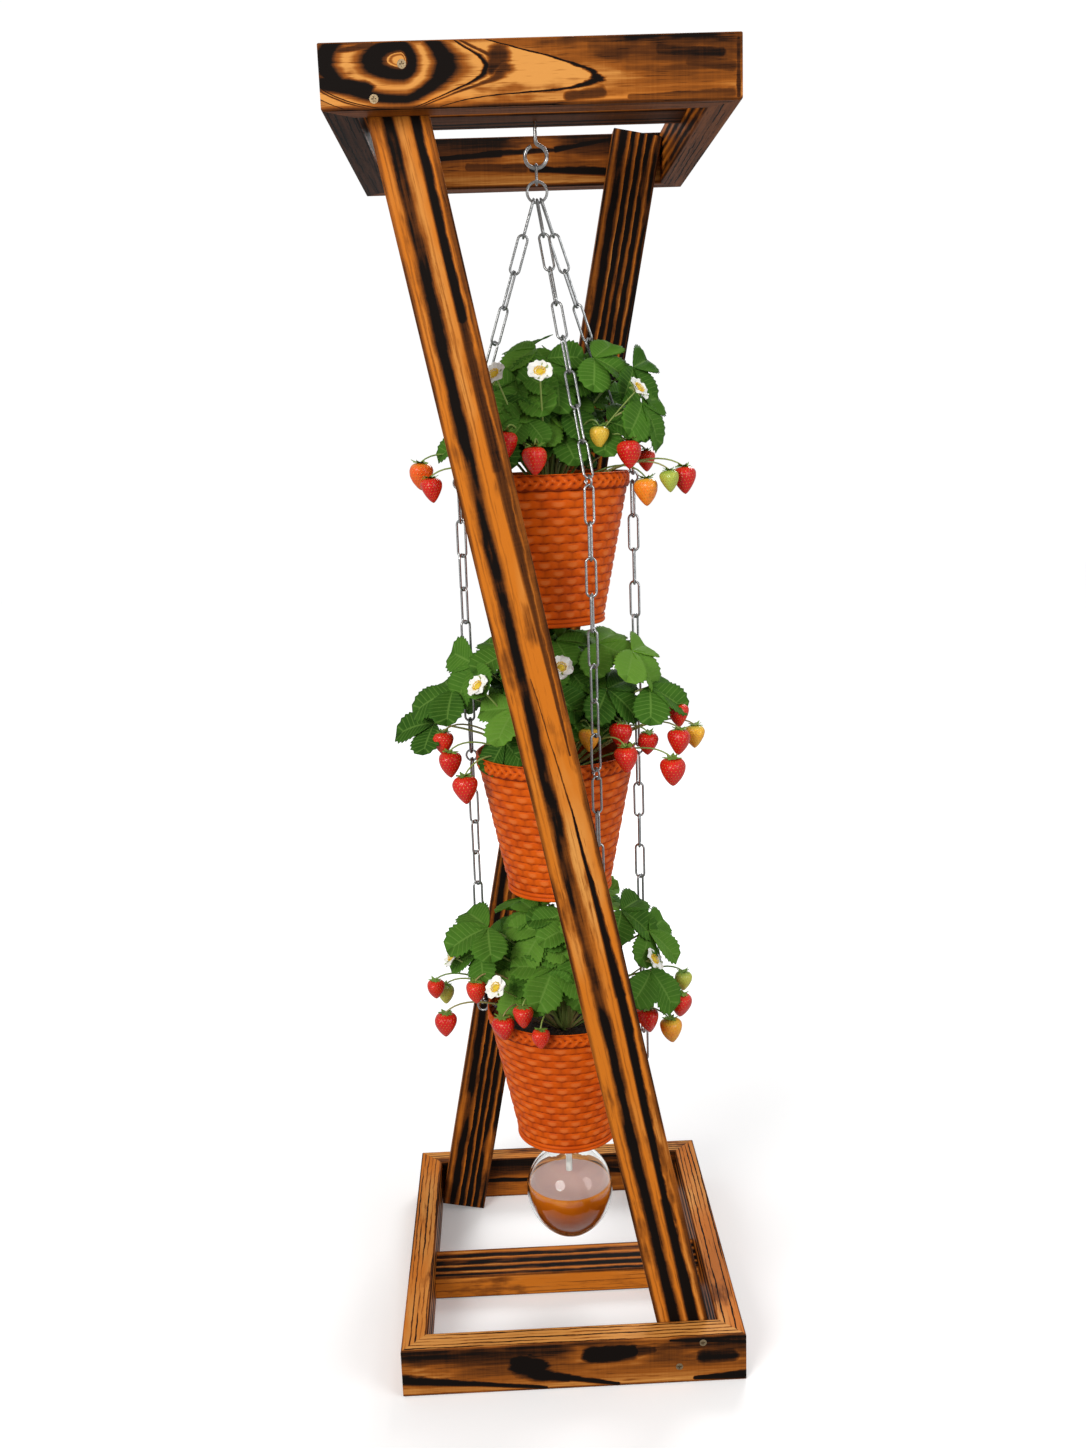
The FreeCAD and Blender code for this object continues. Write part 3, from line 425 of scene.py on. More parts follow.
# Turn, face and marks of each board
boards = {
    "top_front_rail": (wide_x, 1, {
        "knot": ((-122, 13), knot_rings, 54.2), "wander": 5.0, "warm": 0.4, "haze": 0.42,
        "strokes": (
            ((-30, 14), (-38, 2), (9, 5), 0.7), ((-196, -6), (-158, -13), (6, 8), 1.0),
            ((60, 20), (130, 14), (8, 6), 0.52), ((122, 17), (180, 13), (6, 5), 0.74),
            ((150, 6), (190, 1), (6, 6), 0.66), ((92, 8), (110, 4), (12, 9), 0.46),
            ((92, -25), (190, -23), (2, 5), 0.55), ((34, -24), (66, -20), (4, 5), 0.62),
            ((196, 24), (196, -26), (2, 2), 0.7), ((-198, 20), (-150, 26), (2, 3), 0.6))}),
    "top_back_rail": (wide_x, 1, {
        "warm": 0.3, "wander": 5.0, "haze": 0.34,
        "strokes": (
            ((-120, 4), (-30, 10), (2, 5), 0.95), ((-30, 10), (40, 12), (4, 2), 0.8),
            ((40, 12), (110, 24), (3, 3), 0.95), ((-70, -6), (0, -8), (4, 6), 0.62),
            ((10, -9), (120, -16), (4, 5), 0.92))}),
    "top_left_rail": (wide_y, 1, {
        "stripes": ((-18, 5, 0.8), (0, 5, 0.9), (17, 4, 0.9)), "burn": 0.26}),
    "top_right_rail": (wide_y, -1, {
        "stripes": ((-20, 3, 0.9), (-8, 3, 0.9), (4, 3, 0.95), (16, 3, 0.9)), "warm": 0.7}),
    "top_cross_rail": (flat_x, 1, {
        "stripes": ((-20, 3, 0.9), (-6, 3, 1.0), (9, 3, 0.9), (22, 3, 0.9)), "burn": 0.12}),
    "base_front_rail": (wide_x, 1, {
        "warm": 0.24, "wander": 5.0, "haze": 0.2,
        "strokes": (
            ((-62, 6), (-46, 0), (16, 15), 1.0), ((-44, -8), (-8, -15), (9, 5), 1.0),
            ((-8, -15), (50, -27), (4, 2), 0.95), ((22, 13), (66, 14), (11, 9), 1.0),
            ((66, 14), (92, 15), (8, 5), 0.72), ((-200, -7), (-110, -17), (6, 3.5), 1.0),
            ((-110, -17), (-34, -27), (3.5, 2), 0.95), ((150, 3), (182, 4), (9, 10), 0.82),
            ((112, 26), (200, 21), (1.5, 3), 0.95), ((140, -25), (200, -24), (2, 5), 0.95),
            ((100, -4), (132, 2), (6, 7), 0.36))}),
    "base_back_rail": (wide_x, 1, {
        "warm": 0.5, "burn": 0.08, "wander": 9.0,
        "strokes": (
            ((-120, -3), (10, -4), (2.5, 3), 0.95), ((10, -4), (30, 2), (6, 4), 0.95),
            ((-40, -20), (30, -16), (3, 5), 0.9), ((60, 6), (160, -4), (4, 3), 0.9),
            ((-150, 18), (-60, 14), (3, 2), 0.6))}),
    "base_left_rail": (wide_y, 1, {
        "stripes": ((-19, 3, 0.9), (-3, 5, 0.95), (14, 4, 0.9)), "warm": 0.6}),
    "base_right_rail": (wide_y, -1, {
        "stripes": ((-17, 4, 0.9), (0, 5, 0.95), (18, 4, 0.9)), "warm": 0.6}),
    "base_cross_rail": (flat_x, 1, {
        "stripes": ((-24.5, 2.4, 0.9), (-12.5, 3.6, 1.0), (1.5, 4.4, 1.0), (16, 3.6, 0.9)),
        "wander": 2.2, "warm": 0.6, "ridged": 0.3}),
    "front_post": (left_lean, -1, {
        "stripes": ((-9.0, 5.2, 1.0), (26.5, 2.2, 0.5), (4.0, 0.8, 0.22), (-21, 0.8, 0.25)),
        "wander": 4.4, "warm": 0.62, "stop": -696,
        "strokes": (
            ((690, 16), (480, 16), (4, 4), 0.95), ((480, 16), (330, 17), (4, 5), 0.7),
            ((330, 18), (20, 22), (5, 1), 0.6), ((-40, 10), (-260, 15), (0.6, 5), 0.92),
            ((-260, 15), (-520, 13), (4, 4), 0.95), ((-520, 13), (-686, 12), (5, 6), 1.0),
            ((110, 0), (-40, 10), (0.5, 0.8), 0.6), ((-600, -9), (-686, -9), (5, 6), 1.0))}),
    "rear_post": (right_lean, -1, {
        "stripes": ((-17, 4.0, 0.95), (-5.5, 3.2, 1.0), (5, 2.8, 0.95), (15, 3.0, 0.95), (26, 2.4, 0.8)),
        "burn": 0.16, "wander": 3.0, "warm": 0.62,
        "strokes": (((446, -16), (436, 14), (7, 9), 1.0), ((452, -20), (474, -18), (4, 2), 0.9))}),
}
for seed, (board, (turn, face, marks)) in enumerate(boards.items(), 1):
    paint(nodes[board], timber("wood_" + board, middle(board), turn, face, seed, **marks))


# Woven pots
POT_HEIGHT, BAND_HEIGHT, BAND_RADIUS = 0.172, 0.018, 0.0955
WALL_TOP_RADIUS, WALL_FOOT_RADIUS = 0.0925, 0.0615
FOOT_RADIUS, FOOT_HEIGHT = 0.0635, 0.01
POT_WALL, POT_FLOOR, DRAIN_RADIUS = 0.003, 0.004, 0.009
WEAVE_ROWS, STAKES, WEAVE_DEPTH = 15, 30, 0.0024
BAND_STRANDS, BAND_WAVES, BAND_DEPTH = 3, 16, 0.0022
ROW_WAVE, BEAD_DEPTH, BRAID_SWAY, STRAND_HALF, LIP_DROP = 0.05, 0.0016, 0.0052, 0.0034, 0.0012


def pot_foot(tier):
    """Middle of a pot's underside."""
    low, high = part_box(tier + "_pot")
    return np.array(((low.x + high.x) / 2, (low.y + high.y) / 2, low.z))


def basket(tier, tree):
    """A woven pot as rings: under the foot, up the wall, over the braided band and down inside."""
    angles = ring_angles(STAKES * 9)
    wall_height = POT_HEIGHT - BAND_HEIGHT
    # Each ring keeps how far it swells out as its tone; the pot's material paints shade into the dips and
    # a highlight on the crowns from it
    rows, tones = [], []

    def ring(radius, z, tone=0.5):
        radius = np.broadcast_to(radius, angles.shape)
        level = np.broadcast_to(z, angles.shape)
        rows.append(np.column_stack((radius * np.cos(angles), radius * np.sin(angles), level)))
        tones.append(np.broadcast_to(tone, angles.shape))

    def wall_radius(z):
        return WALL_FOOT_RADIUS + (WALL_TOP_RADIUS - WALL_FOOT_RADIUS) * z / wall_height

    ring(DRAIN_RADIUS, 0.0)
    ring(FOOT_RADIUS * 0.94, 0.0)
    for z in np.linspace(0.0, FOOT_HEIGHT, 15):
        half = np.sin(math.pi * (2 * z / FOOT_HEIGHT % 1.0))
        ring(FOOT_RADIUS - BEAD_DEPTH * (1 - half ** 0.6), z, 0.35 + 0.5 * half)
    for z in np.linspace(FOOT_HEIGHT, wall_height, WEAVE_ROWS * 8 + 1):
        up = (z - FOOT_HEIGHT) / (wall_height - FOOT_HEIGHT)
        place = up * WEAVE_ROWS + ROW_WAVE * np.cos(STAKES * angles)
        row = np.clip(np.floor(place), 0, WEAVE_ROWS - 1)
        body = np.clip(1 - np.abs(2 * (place - row) - 1) ** 4, 0, 1) ** 0.6
        over = np.sqrt(0.5 + 0.5 * np.cos(STAKES / 2 * angles + math.pi * row))
        swell = body * (0.5 + 0.5 * over)
        ring(wall_radius(z) - WEAVE_DEPTH * (1 - swell), z, swell)
    middle_z = wall_height + 0.5 * BAND_HEIGHT
    for z in np.linspace(wall_height, POT_HEIGHT - LIP_DROP, BAND_STRANDS * 10 + 1):
        swell = np.full(angles.shape, 0.08)
        for strand in range(BAND_STRANDS):
            phase = BAND_WAVES * angles + math.tau * strand / BAND_STRANDS
            off = (z - middle_z - BRAID_SWAY * np.sin(phase)) / STRAND_HALF
            bead = np.sqrt(np.clip(1 - off ** 2, 0, 1))
            swell = np.maximum(swell, bead * (0.74 + 0.26 * np.cos(2 * phase + 0.8)))
        ring(BAND_RADIUS - BAND_DEPTH * (1 - swell), z, swell)
    lip = POT_WALL / 2
    for turn in np.linspace(0.15, 1.0, 5) * math.pi:
        ring(BAND_RADIUS - lip + lip * math.cos(turn), POT_HEIGHT - lip + lip * math.sin(turn), 0.8)
    ring(BAND_RADIUS - POT_WALL, wall_height)
    ring(WALL_TOP_RADIUS - POT_WALL, wall_height)
    ring(WALL_FOOT_RADIUS - POT_WALL, POT_FLOOR)
    ring(DRAIN_RADIUS, POT_FLOOR)
    ring(DRAIN_RADIUS, 0.0)
    verts = np.concatenate(rows) + pot_foot(tier)
    faces = grid_faces(len(rows), len(angles), True)
    return mesh_piece(tier + "_basket", verts, faces, [tree], tones=np.concatenate(tones))


def terracotta():
    t = Tree("woven_terracotta")
    point = t.object_point()
    swell = t.tone()
    cloud = t.noise(point, 26.0, 3.0, 0.6)
    speck = t.noise(t.scaled(point, (1, 1, 5)), 420.0, 2.0, 0.6)
    # Painted shade: where the weave dips between strands it takes the dark colour low, and the crowns take
    # high
    high = t.mix(t.span(cloud, 0.35, 0.68), (0.56, 0.073, 0.003), (0.66, 0.102, 0.004))
    low = t.mix(t.span(cloud, 0.35, 0.68), (0.17, 0.017, 0.002), (0.23, 0.026, 0.003))
    colour = t.mix(t.span(swell, 0.12, 0.75), low, high)
    colour = t.mix(t.span(speck, 0.52, 0.78, 0.0, 0.4), colour, (0.38, 0.062, 0.009))
    # Painted highlight: a pale line along the crown of each strand
    colour = t.mix(t.span(swell, 0.86, 1.0, 0.0, 0.42), colour, (0.8, 0.23, 0.055))
    t.set(Base_Color=colour, Roughness=t.span(speck, 0.3, 0.7, 0.34, 0.5))
    t.set(Normal=t.bump(speck, 0.25, 0.0006), Specular_IOR_Level=MATT)
    return t


weave = terracotta()
for tier in TIERS:
    piece = basket(tier, weave)
    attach(piece, tier + "_tier")
    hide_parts(tier + "_pot")


# Compost
SOIL_TOP, SOIL_GAP, SOIL_LUMP, SOIL_CRUMB = 0.1383, 0.0004, 0.0022, 0.0014
SOIL_HOLE, SOIL_SHOULDER, CHIP_LIFT = 0.01, 0.002, 0.0015
BARK_CHIPS, CHIP_OUTLINE = 60, ((-0.5, -0.4), (0.5, -0.5), (0.4, 0.5), (-0.45, 0.4))


def compost(tier, trees, rng):
    wall_height = POT_HEIGHT - BAND_HEIGHT
    inner = WALL_FOOT_RADIUS - POT_WALL - SOIL_GAP
    slope = (WALL_TOP_RADIUS - WALL_FOOT_RADIUS) / (wall_height - POT_FLOOR)
    rim = inner + slope * (SOIL_TOP - POT_FLOOR)
    angles = ring_angles(96)
    heap, centre = Heap(), pot_foot(tier)
    floor = POT_FLOOR + SOIL_GAP
    profile = [(SOIL_HOLE, floor), (inner, floor), (rim, SOIL_TOP - SOIL_SHOULDER)]
    profile += [(rim * share, SOIL_TOP) for share in np.linspace(0.97, 0.02, 26)]
    verts = []
    for index, (radius, z) in enumerate(profile):
        for angle in angles:
            spot = Vector((radius * math.cos(angle), radius * math.sin(angle), z))
            if index > 2:
                lump = simplex.noise(spot * 90 + Vector((0, 0, centre[2] * 7)))
                crumb = simplex.noise(spot * 260)
                spot.z += SOIL_LUMP * lump + SOIL_CRUMB * crumb
            verts.append(np.array(spot) + centre)
    heap.add(verts, grid_faces(len(profile), len(angles), True))
    for _ in range(BARK_CHIPS):
        angle, reach = rng.uniform(0, math.tau), 0.92 * rim * math.sqrt(rng.random())
        turn = Euler((rng.uniform(-0.4, 0.4), rng.uniform(-0.4, 0.4), rng.uniform(0, 6.28))).to_matrix()
        size = Vector((rng.uniform(4, 10), rng.uniform(2, 5), rng.uniform(1, 2.4))) * MM
        base = Vector((reach * math.cos(angle), reach * math.sin(angle), SOIL_TOP + CHIP_LIFT))
        corners = [(x, y, z) for z in (-0.5, 0.5) for x, y in CHIP_OUTLINE]
        chip = [base + turn @ Vector((x * size.x, y * size.y, z * size.z)) for x, y, z in corners]
        sides = [(0, 3, 2, 1), (4, 5, 6, 7)] + [(k, (k + 1) % 4, (k + 1) % 4 + 4, k + 4) for k in range(4)]
        heap.add(np.array(chip) + centre, sides, 1, tone=rng.random())
    return heap.piece(tier + "_compost", trees, smooth=False)


def earth(name, dark, light, scale):
    t = Tree(name)
    grain = t.mottle(scale, 5.0, 0.7)
    crumbs = t.cells(t.object_point(), scale * 0.8)
    colour = t.mix(t.span(grain, 0.35, 0.7), dark, light)
    t.set(Base_Color=colour, Roughness=0.92, Normal=t.bump(t.plus(grain, crumbs), 0.8, 0.0015))
    return t


soils = [earth("compost", (0.01, 0.006, 0.004), (0.055, 0.033, 0.019), 180.0),
         earth("bark", (0.035, 0.018, 0.009), (0.13, 0.07, 0.034), 320.0)]
for index, tier in enumerate(TIERS):
    piece = compost(tier, soils, random.Random(40 + index))
    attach(piece, tier + "_tier")
    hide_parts(tier + "_soil")


# Strawberry plants: azimuth in degrees, reach over the band radius, height over the foliage height, size
LEAVES = {
    "upper": (
        (232, 0.2, 0.86, 0.9), (-140, 0.1, 0.98, 0.9), (-27, 0.66, 0.88, 1.0), (-16, 1.08, 0.8, 1.0),
        (-21, 1.2, 0.52, 1.1), (40, 0.98, 0.62, 1.0), (68, 0.72, 0.8, 1.1), (94, 0.94, 0.56, 1.0),
        (122, 0.78, 0.78, 1.0), (143, 0.94, 0.46, 1.0), (195, 0.94, 0.32, 0.9), (222, 0.7, 0.6, 1.0),
        (214, 0.72, 0.34, 1.0), (236, 0.5, 0.66, 1.1), (-30, 0.84, 0.38, 1.0),
    ),
    "middle": (
        (189, 1.26, 0.56, 1.1), (202, 1.02, 0.8, 1.1), (179, 1.5, 0.26, 1.0), (214, 0.62, 0.88, 1.0),
        (-26, 0.6, 0.92, 1.0), (-21, 1.02, 0.86, 1.1), (-20, 1.22, 0.56, 1.1), (-75, 0.16, 0.94, 0.9),
        (236, 0.26, 0.92, 1.0), (41, 1.04, 0.7, 1.0), (68, 0.78, 0.88, 1.0), (93, 1.04, 0.6, 1.0),
        (120, 0.82, 0.84, 1.0), (136, 1.08, 0.52, 1.1), (236, 0.86, 0.46, 1.0), (262, 0.58, 0.6, 1.1),
        (-36, 0.78, 0.56, 1.0),
    ),
    "lower": (
        (200, 1.0, 0.82, 1.1), (205, 0.5, 0.52, 1.1), (232, 0.42, 0.76, 1.0), (-42, 0.46, 0.92, 1.0),
        (-23, 0.82, 0.92, 1.0), (-20, 1.16, 0.74, 1.0), (-27, 1.22, 0.42, 1.1), (-95, 0.22, 0.88, 0.9),
        (42, 1.04, 0.66, 1.0), (68, 0.78, 0.86, 1.1), (94, 1.02, 0.58, 1.0), (120, 0.8, 0.82, 1.0),
        (136, 1.04, 0.5, 1.0), (196, 1.08, 0.62, 0.9), (257, 0.62, 0.5, 1.1), (282, 0.42, 0.62, 0.9),
    ),
}
# The last number of a berry is its ripeness, from 0, green, to 1, red
BERRIES = {
    "upper": (
        (-115, 1.12, 0.34, 1.0, 1.0), (-98, 1.14, 0.22, 1.0, 0.95), (-47, 0.88, 0.36, 0.8, 0.32),
        (-36, 1.16, 0.24, 1.0, 1.0), (-22, 1.24, -0.06, 1.0, 0.52), (-3, 1.2, 0.16, 0.8, 0.92),
        (-12, 1.64, 0.02, 1.0, 1.0), (-22, 1.52, 0.0, 0.8, 0.08), (187, 1.5, 0.12, 1.0, 0.66),
        (197, 1.44, 0.0, 0.9, 0.96),
    ),
    "middle": (
        (188, 1.4, 0.22, 0.9, 0.9), (198, 1.38, 0.08, 1.0, 1.0), (208, 1.28, -0.1, 1.1, 0.96),
        (-38, 1.0, 0.3, 1.0, 1.0), (-61, 0.82, 0.28, 0.9, 0.45), (-49, 1.22, 0.14, 1.0, 0.95),
        (-21, 1.2, 0.18, 0.9, 1.0), (-4, 1.26, 0.54, 0.8, 0.9), (-13, 1.54, 0.4, 0.9, 0.95),
        (-21, 1.6, 0.22, 1.0, 1.0), (-8, 1.74, 0.2, 0.9, 0.4), (-28, 1.56, 0.0, 1.1, 0.97),
    ),
    "lower": (
        (186, 1.66, 0.32, 0.8, 0.95), (195, 1.58, 0.08, 1.0, 1.0), (177, 1.54, 0.2, 0.8, 0.15),
        (209, 1.28, 0.42, 0.9, 0.9), (228, 1.18, 0.16, 1.0, 1.0), (241, 1.12, 0.28, 0.9, 0.95),
        (253, 1.14, 0.1, 0.8, 0.9), (-31, 1.2, 0.1, 1.0, 1.0), (-21, 1.42, -0.04, 1.0, 0.46),
        (-13, 1.54, 0.14, 1.0, 0.95), (-4, 1.56, 0.28, 0.8, 0.15),
    ),
}
FLOWERS = {
    "upper": ((-94, 0.98, 0.76), (-34, 1.26, 0.62), (232, 0.92, 0.76)),
    "middle": ((221, 1.2, 0.66), (-86, 0.92, 0.8)),
    "lower": ((196, 1.44, 0.58), (-30, 1.28, 0.54), (226, 1.22, 0.42)),
}
FOLIAGE_HEIGHT, ROOT_RADIUS, ROOT_Z = 0.14, 0.0065, 0.1378
LEAF_STALK, BERRY_STALK, FLOWER_STALK = (0.0019, 0.0012), (0.0015, 0.0009), (0.0014, 0.0009)
LEAFLET_LENGTH, LEAFLET_WIDTH, LEAF_THICKNESS, TEETH = 0.05, 0.043, 0.0006, 9
INNER_LEAVES, GOLDEN_ANGLE, CHAIN_AZIMUTHS = 34, 137.5, (167, -66, 13)
LEAF_TILT = {"upper": 34, "middle": 28, "lower": 22}
BERRY_LENGTH, BERRY_WIDTH, CALYX_RADIUS, SEPALS = 0.031, 0.027, 0.009, 9
SEED_ROWS, SEED_COLUMNS, SEED_PIT = 9, 18, 0.00055
PETALS, PETAL_ROOT, PETAL_LENGTH, PETAL_HALF = 6, 0.0022, 0.0122, 0.0074
PETAL_SIT, PETAL_BELLY, PETAL_CUP, PETAL_RIPPLE, PETAL_STEP = 0.0016, 0.003, 0.0022, 0.0005, 0.0003
HEART_RADIUS, HEART_FOOT, HEART_RISE = 0.0048, 0.0014, 0.0034
STAMENS, STAMEN_RADII, STAMEN_STEP = 20, (0.0003, 0.0004, 0.0008), 0.0006
STAMEN_FOOT, STAMEN_FOOT_Z, STAMEN_HEAD, STAMEN_HEAD_Z = 0.004, 0.002, 0.0058, 0.0046
BERRY_KNEE, BERRY_DROP, FLOWER_KNEE = 0.03, 0.0006, 0.012
FLOWER_TIP, FLOWER_CALYX = 52, 0.0105


def polar(radius, azimuth, z):
    angle = math.radians(azimuth)
    return np.array((radius * math.cos(angle), radius * math.sin(angle), z))


def about(axis, degrees):
    return np.array(Matrix.Rotation(math.radians(degrees), 3, axis))


def turned(azimuth, tip):
    """Rotation of a form that faces out at an azimuth and tips down, in degrees."""
    return about("Z", azimuth) @ about("Y", tip)


def crown_point(azimuth, reach, height):
    return polar(reach * BAND_RADIUS, azimuth, POT_HEIGHT + height * FOLIAGE_HEIGHT)


def stalk(root, knee, end, centre, radii, steps, sides):
    """A stalk that thins from root to end, both seen from the centre."""
    return swept(bowed(root, knee, end, steps) + centre, np.linspace(*radii, steps), sides)


def leaflet(length, width, rng):
    """A toothed, pleated and cupped blade along +X, with u along the teeth and v from the midrib."""
    rows = 2 * TEETH + 1
    shares = (-1.0, -0.82, -0.52, -0.22, 0.0, 0.22, 0.52, 0.82, 1.0)
    curl, fold, roll = rng.uniform(0.1, 0.34), rng.uniform(0.24, 0.52), rng.uniform(-0.2, 0.2)
    verts, uvs = [], []
    for i in range(rows):
        tooth = i % 2
        u = i / (rows - 1)
        rim = 0.05 + 0.95 * u
        half = 0.5 * width * rim ** 0.62 * max(1 - rim ** 3.2, 0.0) ** 0.55 / 0.65
        half *= 1.06 if tooth else 0.93
        stem = max(0.0, 0.88 * u - 0.05)
        for share in shares:
            far = abs(share)
            x = (stem + (rim + 0.035 * tooth - stem) * far) * length
            y = share * half
            z = fold * abs(y) - 0.35 * abs(y) ** 2 / width - curl * length * (x / length) ** 2 + roll * y
            z += (-1 if tooth else 1) * 0.085 * length * far * (1 - far) * (0.4 + u) * 0.8
            verts.append((x, y, z))
            uvs.append((i / 2, far))
    return np.array(verts), grid_faces(rows, len(shares)), np.array(uvs)


def leaf_spots(tier, rng):
    """The tier's leaves, and smaller ones that fill the crown short of the chains."""
    spots = list(LEAVES[tier])
    for k in range(INNER_LEAVES):
        azimuth = k * GOLDEN_ANGLE + rng.uniform(-10, 10)
        reach = 0.1 + 0.66 * math.sqrt(k / INNER_LEAVES)
        if min(abs((azimuth - chain + 180) % 360 - 180) for chain in CHAIN_AZIMUTHS) < 38:
            reach = min(reach, 0.38)
        height = 0.94 - 0.7 * k / INNER_LEAVES + rng.uniform(-0.14, 0.08)
        spots.append((azimuth, reach, height, rng.uniform(0.74, 1.0)))
    return spots


def foliage(tier, leaf_trees, stalk_trees, rng):
    blades, stalks, centre = Heap(), Heap(), pot_foot(tier)
    tilt = about("X", LEAF_TILT[tier])
    for azimuth, reach, height, size in leaf_spots(tier, rng):
        end = crown_point(azimuth, reach, height)
        root = polar(ROOT_RADIUS, azimuth, ROOT_Z)
        knee = polar(0.34 * reach * BAND_RADIUS, azimuth, root[2] + 0.78 * (end[2] - root[2]))
        stalks.add(*stalk(root, knee, end, centre, LEAF_STALK, 11, 7), tone=rng.random())
        tip = 6 + 28 * min(reach / 1.4, 1.0) + rng.uniform(-14, 16)
        lean = about("Y", rng.uniform(-20, 20)) @ tilt
        # A leaf's tone is partly its own random colour and partly painted shade: lower, inner leaves are
        # darker
        tone = min(1.0, max(0.0, rng.gauss(0.06 + 0.56 * height, 0.28)))
        for side, share in ((0, 1.0), (74, 0.92), (-74, 0.92)):
            verts, faces, uvs = leaflet(LEAFLET_LENGTH * size * share, LEAFLET_WIDTH * size * share, rng)
            pose = lean @ turned(azimuth, tip) @ turned(side, rng.uniform(-10, 12))
            blades.add(verts @ pose.T + end + centre, faces, 0, uvs, tone + rng.uniform(-0.08, 0.08))
    leaves = blades.piece(tier + "_foliage", leaf_trees)
    skin = leaves.modifiers.new("thickness", "SOLIDIFY")
    skin.thickness = LEAF_THICKNESS
    skin.offset = -1
    skin.material_offset = 1
    return leaves, stalks.piece(tier + "_stalks", stalk_trees)


def berry(length, width):
    """A dimpled fruit hanging from the origin, with u round it and v from calyx to tip."""
    columns, rows = 54, 27
    t = np.linspace(0, 1, rows)[:, None]
    turn = ring_angles(columns)[None, :]
    radius = 0.5 * width * np.sin(math.pi * np.clip(t, 0.0, 1.0) ** 0.62) ** 0.7
    radius = radius * (1 + 0.05 * np.sin(3 * turn + 4 * t))
    drop = -length * (t ** 1.12) + 0.02 * length * np.cos(2 * turn) * np.sin(math.pi * t)
    row = t * SEED_ROWS
    pit = np.cos(SEED_COLUMNS * turn + math.pi * np.floor(row)) * np.sin(math.pi * (row % 1.0))
    radius = radius - SEED_PIT * np.clip(pit, 0, 1) ** 1.5 * np.sin(math.pi * t)
    verts = np.stack((radius * np.cos(turn), radius * np.sin(turn), drop + 0 * turn), -1).reshape(-1, 3)
    around = np.broadcast_to(SEED_COLUMNS * turn / math.tau, (rows, columns))
    uvs = np.stack((around, np.broadcast_to(row, (rows, columns))), -1).reshape(-1, 2)
    return verts, grid_faces(rows, columns, True), uvs


def calyx(radius, rng):
    """A ring of green sepals."""
    heap = Heap()
    for k in range(SEPALS):
        reach, lift = radius * rng.uniform(0.95, 1.3), rng.uniform(-0.25, 0.45)
        blade = []
        for share, half in ((0.0, 0.3), (0.45, 0.34), (0.8, 0.16), (1.0, 0.01)):
            for side in (-1, 0, 1):
                z = lift * share ** 2 * reach + 0.1 * radius * (1 - abs(side))
                blade.append((share * reach, side * half * radius, z))
        spin = turned(360 * k / SEPALS + rng.uniform(-9, 9), 0)
        heap.add(np.array(blade) @ spin.T, grid_faces(4, 3))
    return np.concatenate(heap.verts), heap.faces


def fruit(tier, trees, rng):
    heap, centre = Heap(), pot_foot(tier)
    for azimuth, reach, height, size, ripe in BERRIES[tier]:
        end = crown_point(azimuth, reach, height)
        root = polar(ROOT_RADIUS, azimuth, ROOT_Z)
        knee = polar(0.75 * reach * BAND_RADIUS, azimuth, max(POT_HEIGHT, end[2]) + BERRY_KNEE)
        heap.add(*stalk(root, knee, end, centre, BERRY_STALK, 15, 6), 2, tone=rng.random())
        top = end + np.array((0, 0, -BERRY_DROP))
        sepals, faces = calyx(CALYX_RADIUS * size, rng)
        heap.add(sepals + top + centre, faces, 1, tone=rng.random())
        verts, faces, uvs = berry(BERRY_LENGTH * size, BERRY_WIDTH * size)
        spin = turned(rng.uniform(0, 360), rng.uniform(-7, 7))
        heap.add(verts @ spin.T + top + centre, faces, 0, uvs, ripe)
    return heap.piece(tier + "_fruit", trees)


def blossom(tier, trees, rng):
    heap, centre = Heap(), pot_foot(tier)
    rows, columns = 7, 7
    for azimuth, reach, height in FLOWERS[tier]:
        end = crown_point(azimuth, reach, height)
        root = polar(ROOT_RADIUS, azimuth, ROOT_Z)
        knee = 0.5 * (root + end) + np.array((0, 0, FLOWER_KNEE))
        heap.add(*stalk(root, knee, end, centre, FLOWER_STALK, 11, 6), 2, tone=0.5)
        face = turned(azimuth, FLOWER_TIP)
        for k in range(PETALS):
            spin = turned(360 / PETALS * k + rng.uniform(-6, 6), rng.uniform(-12, 4))
            petal = []
            for i in range(rows):
                u = i / (rows - 1)
                half = PETAL_HALF * math.sin(math.pi * min(0.1 + 0.84 * u, 1.0)) ** 0.55
                for j in range(columns):
                    side = 2 * j / (columns - 1) - 1
                    z = PETAL_SIT + PETAL_BELLY * u * (1 - u) + PETAL_CUP * side * side * u
                    z += PETAL_RIPPLE * math.sin(9 * side * u)
                    petal.append((PETAL_ROOT + PETAL_LENGTH * u, side * half, z + PETAL_STEP * (k % 2)))
            uvs = [(j / (columns - 1), i / (rows - 1)) for i in range(rows) for j in range(columns)]
            heap.add(np.array(petal) @ spin.T @ face.T + end + centre, grid_faces(rows, columns), 0, uvs)
        arc = np.linspace(0, math.pi / 2 - 0.05, 6)
        dome = [(HEART_RADIUS * math.cos(a), HEART_FOOT + HEART_RISE * math.sin(a)) for a in arc]
        verts, faces = lathe(dome, 18, (0, 0, 0))
        heap.add(np.array(verts) @ face.T + end + centre, faces, 1, tone=0.4)
        for k in range(STAMENS):
            azimuth = 360 / STAMENS * k
            foot = polar(STAMEN_FOOT, azimuth, STAMEN_FOOT_Z)
            head = polar(STAMEN_HEAD + STAMEN_STEP * (k % 2), azimuth, STAMEN_HEAD_Z)
            thread = np.array((foot, 0.5 * (foot + head), head)) @ face.T + end + centre
            heap.add(*swept(thread, STAMEN_RADII, 5), 1, tone=0.9)
        sepals, faces = calyx(FLOWER_CALYX, rng)
        heap.add(sepals @ face.T + end + centre, faces, 2, tone=0.6)
    return heap.piece(tier + "_blossom", trees)


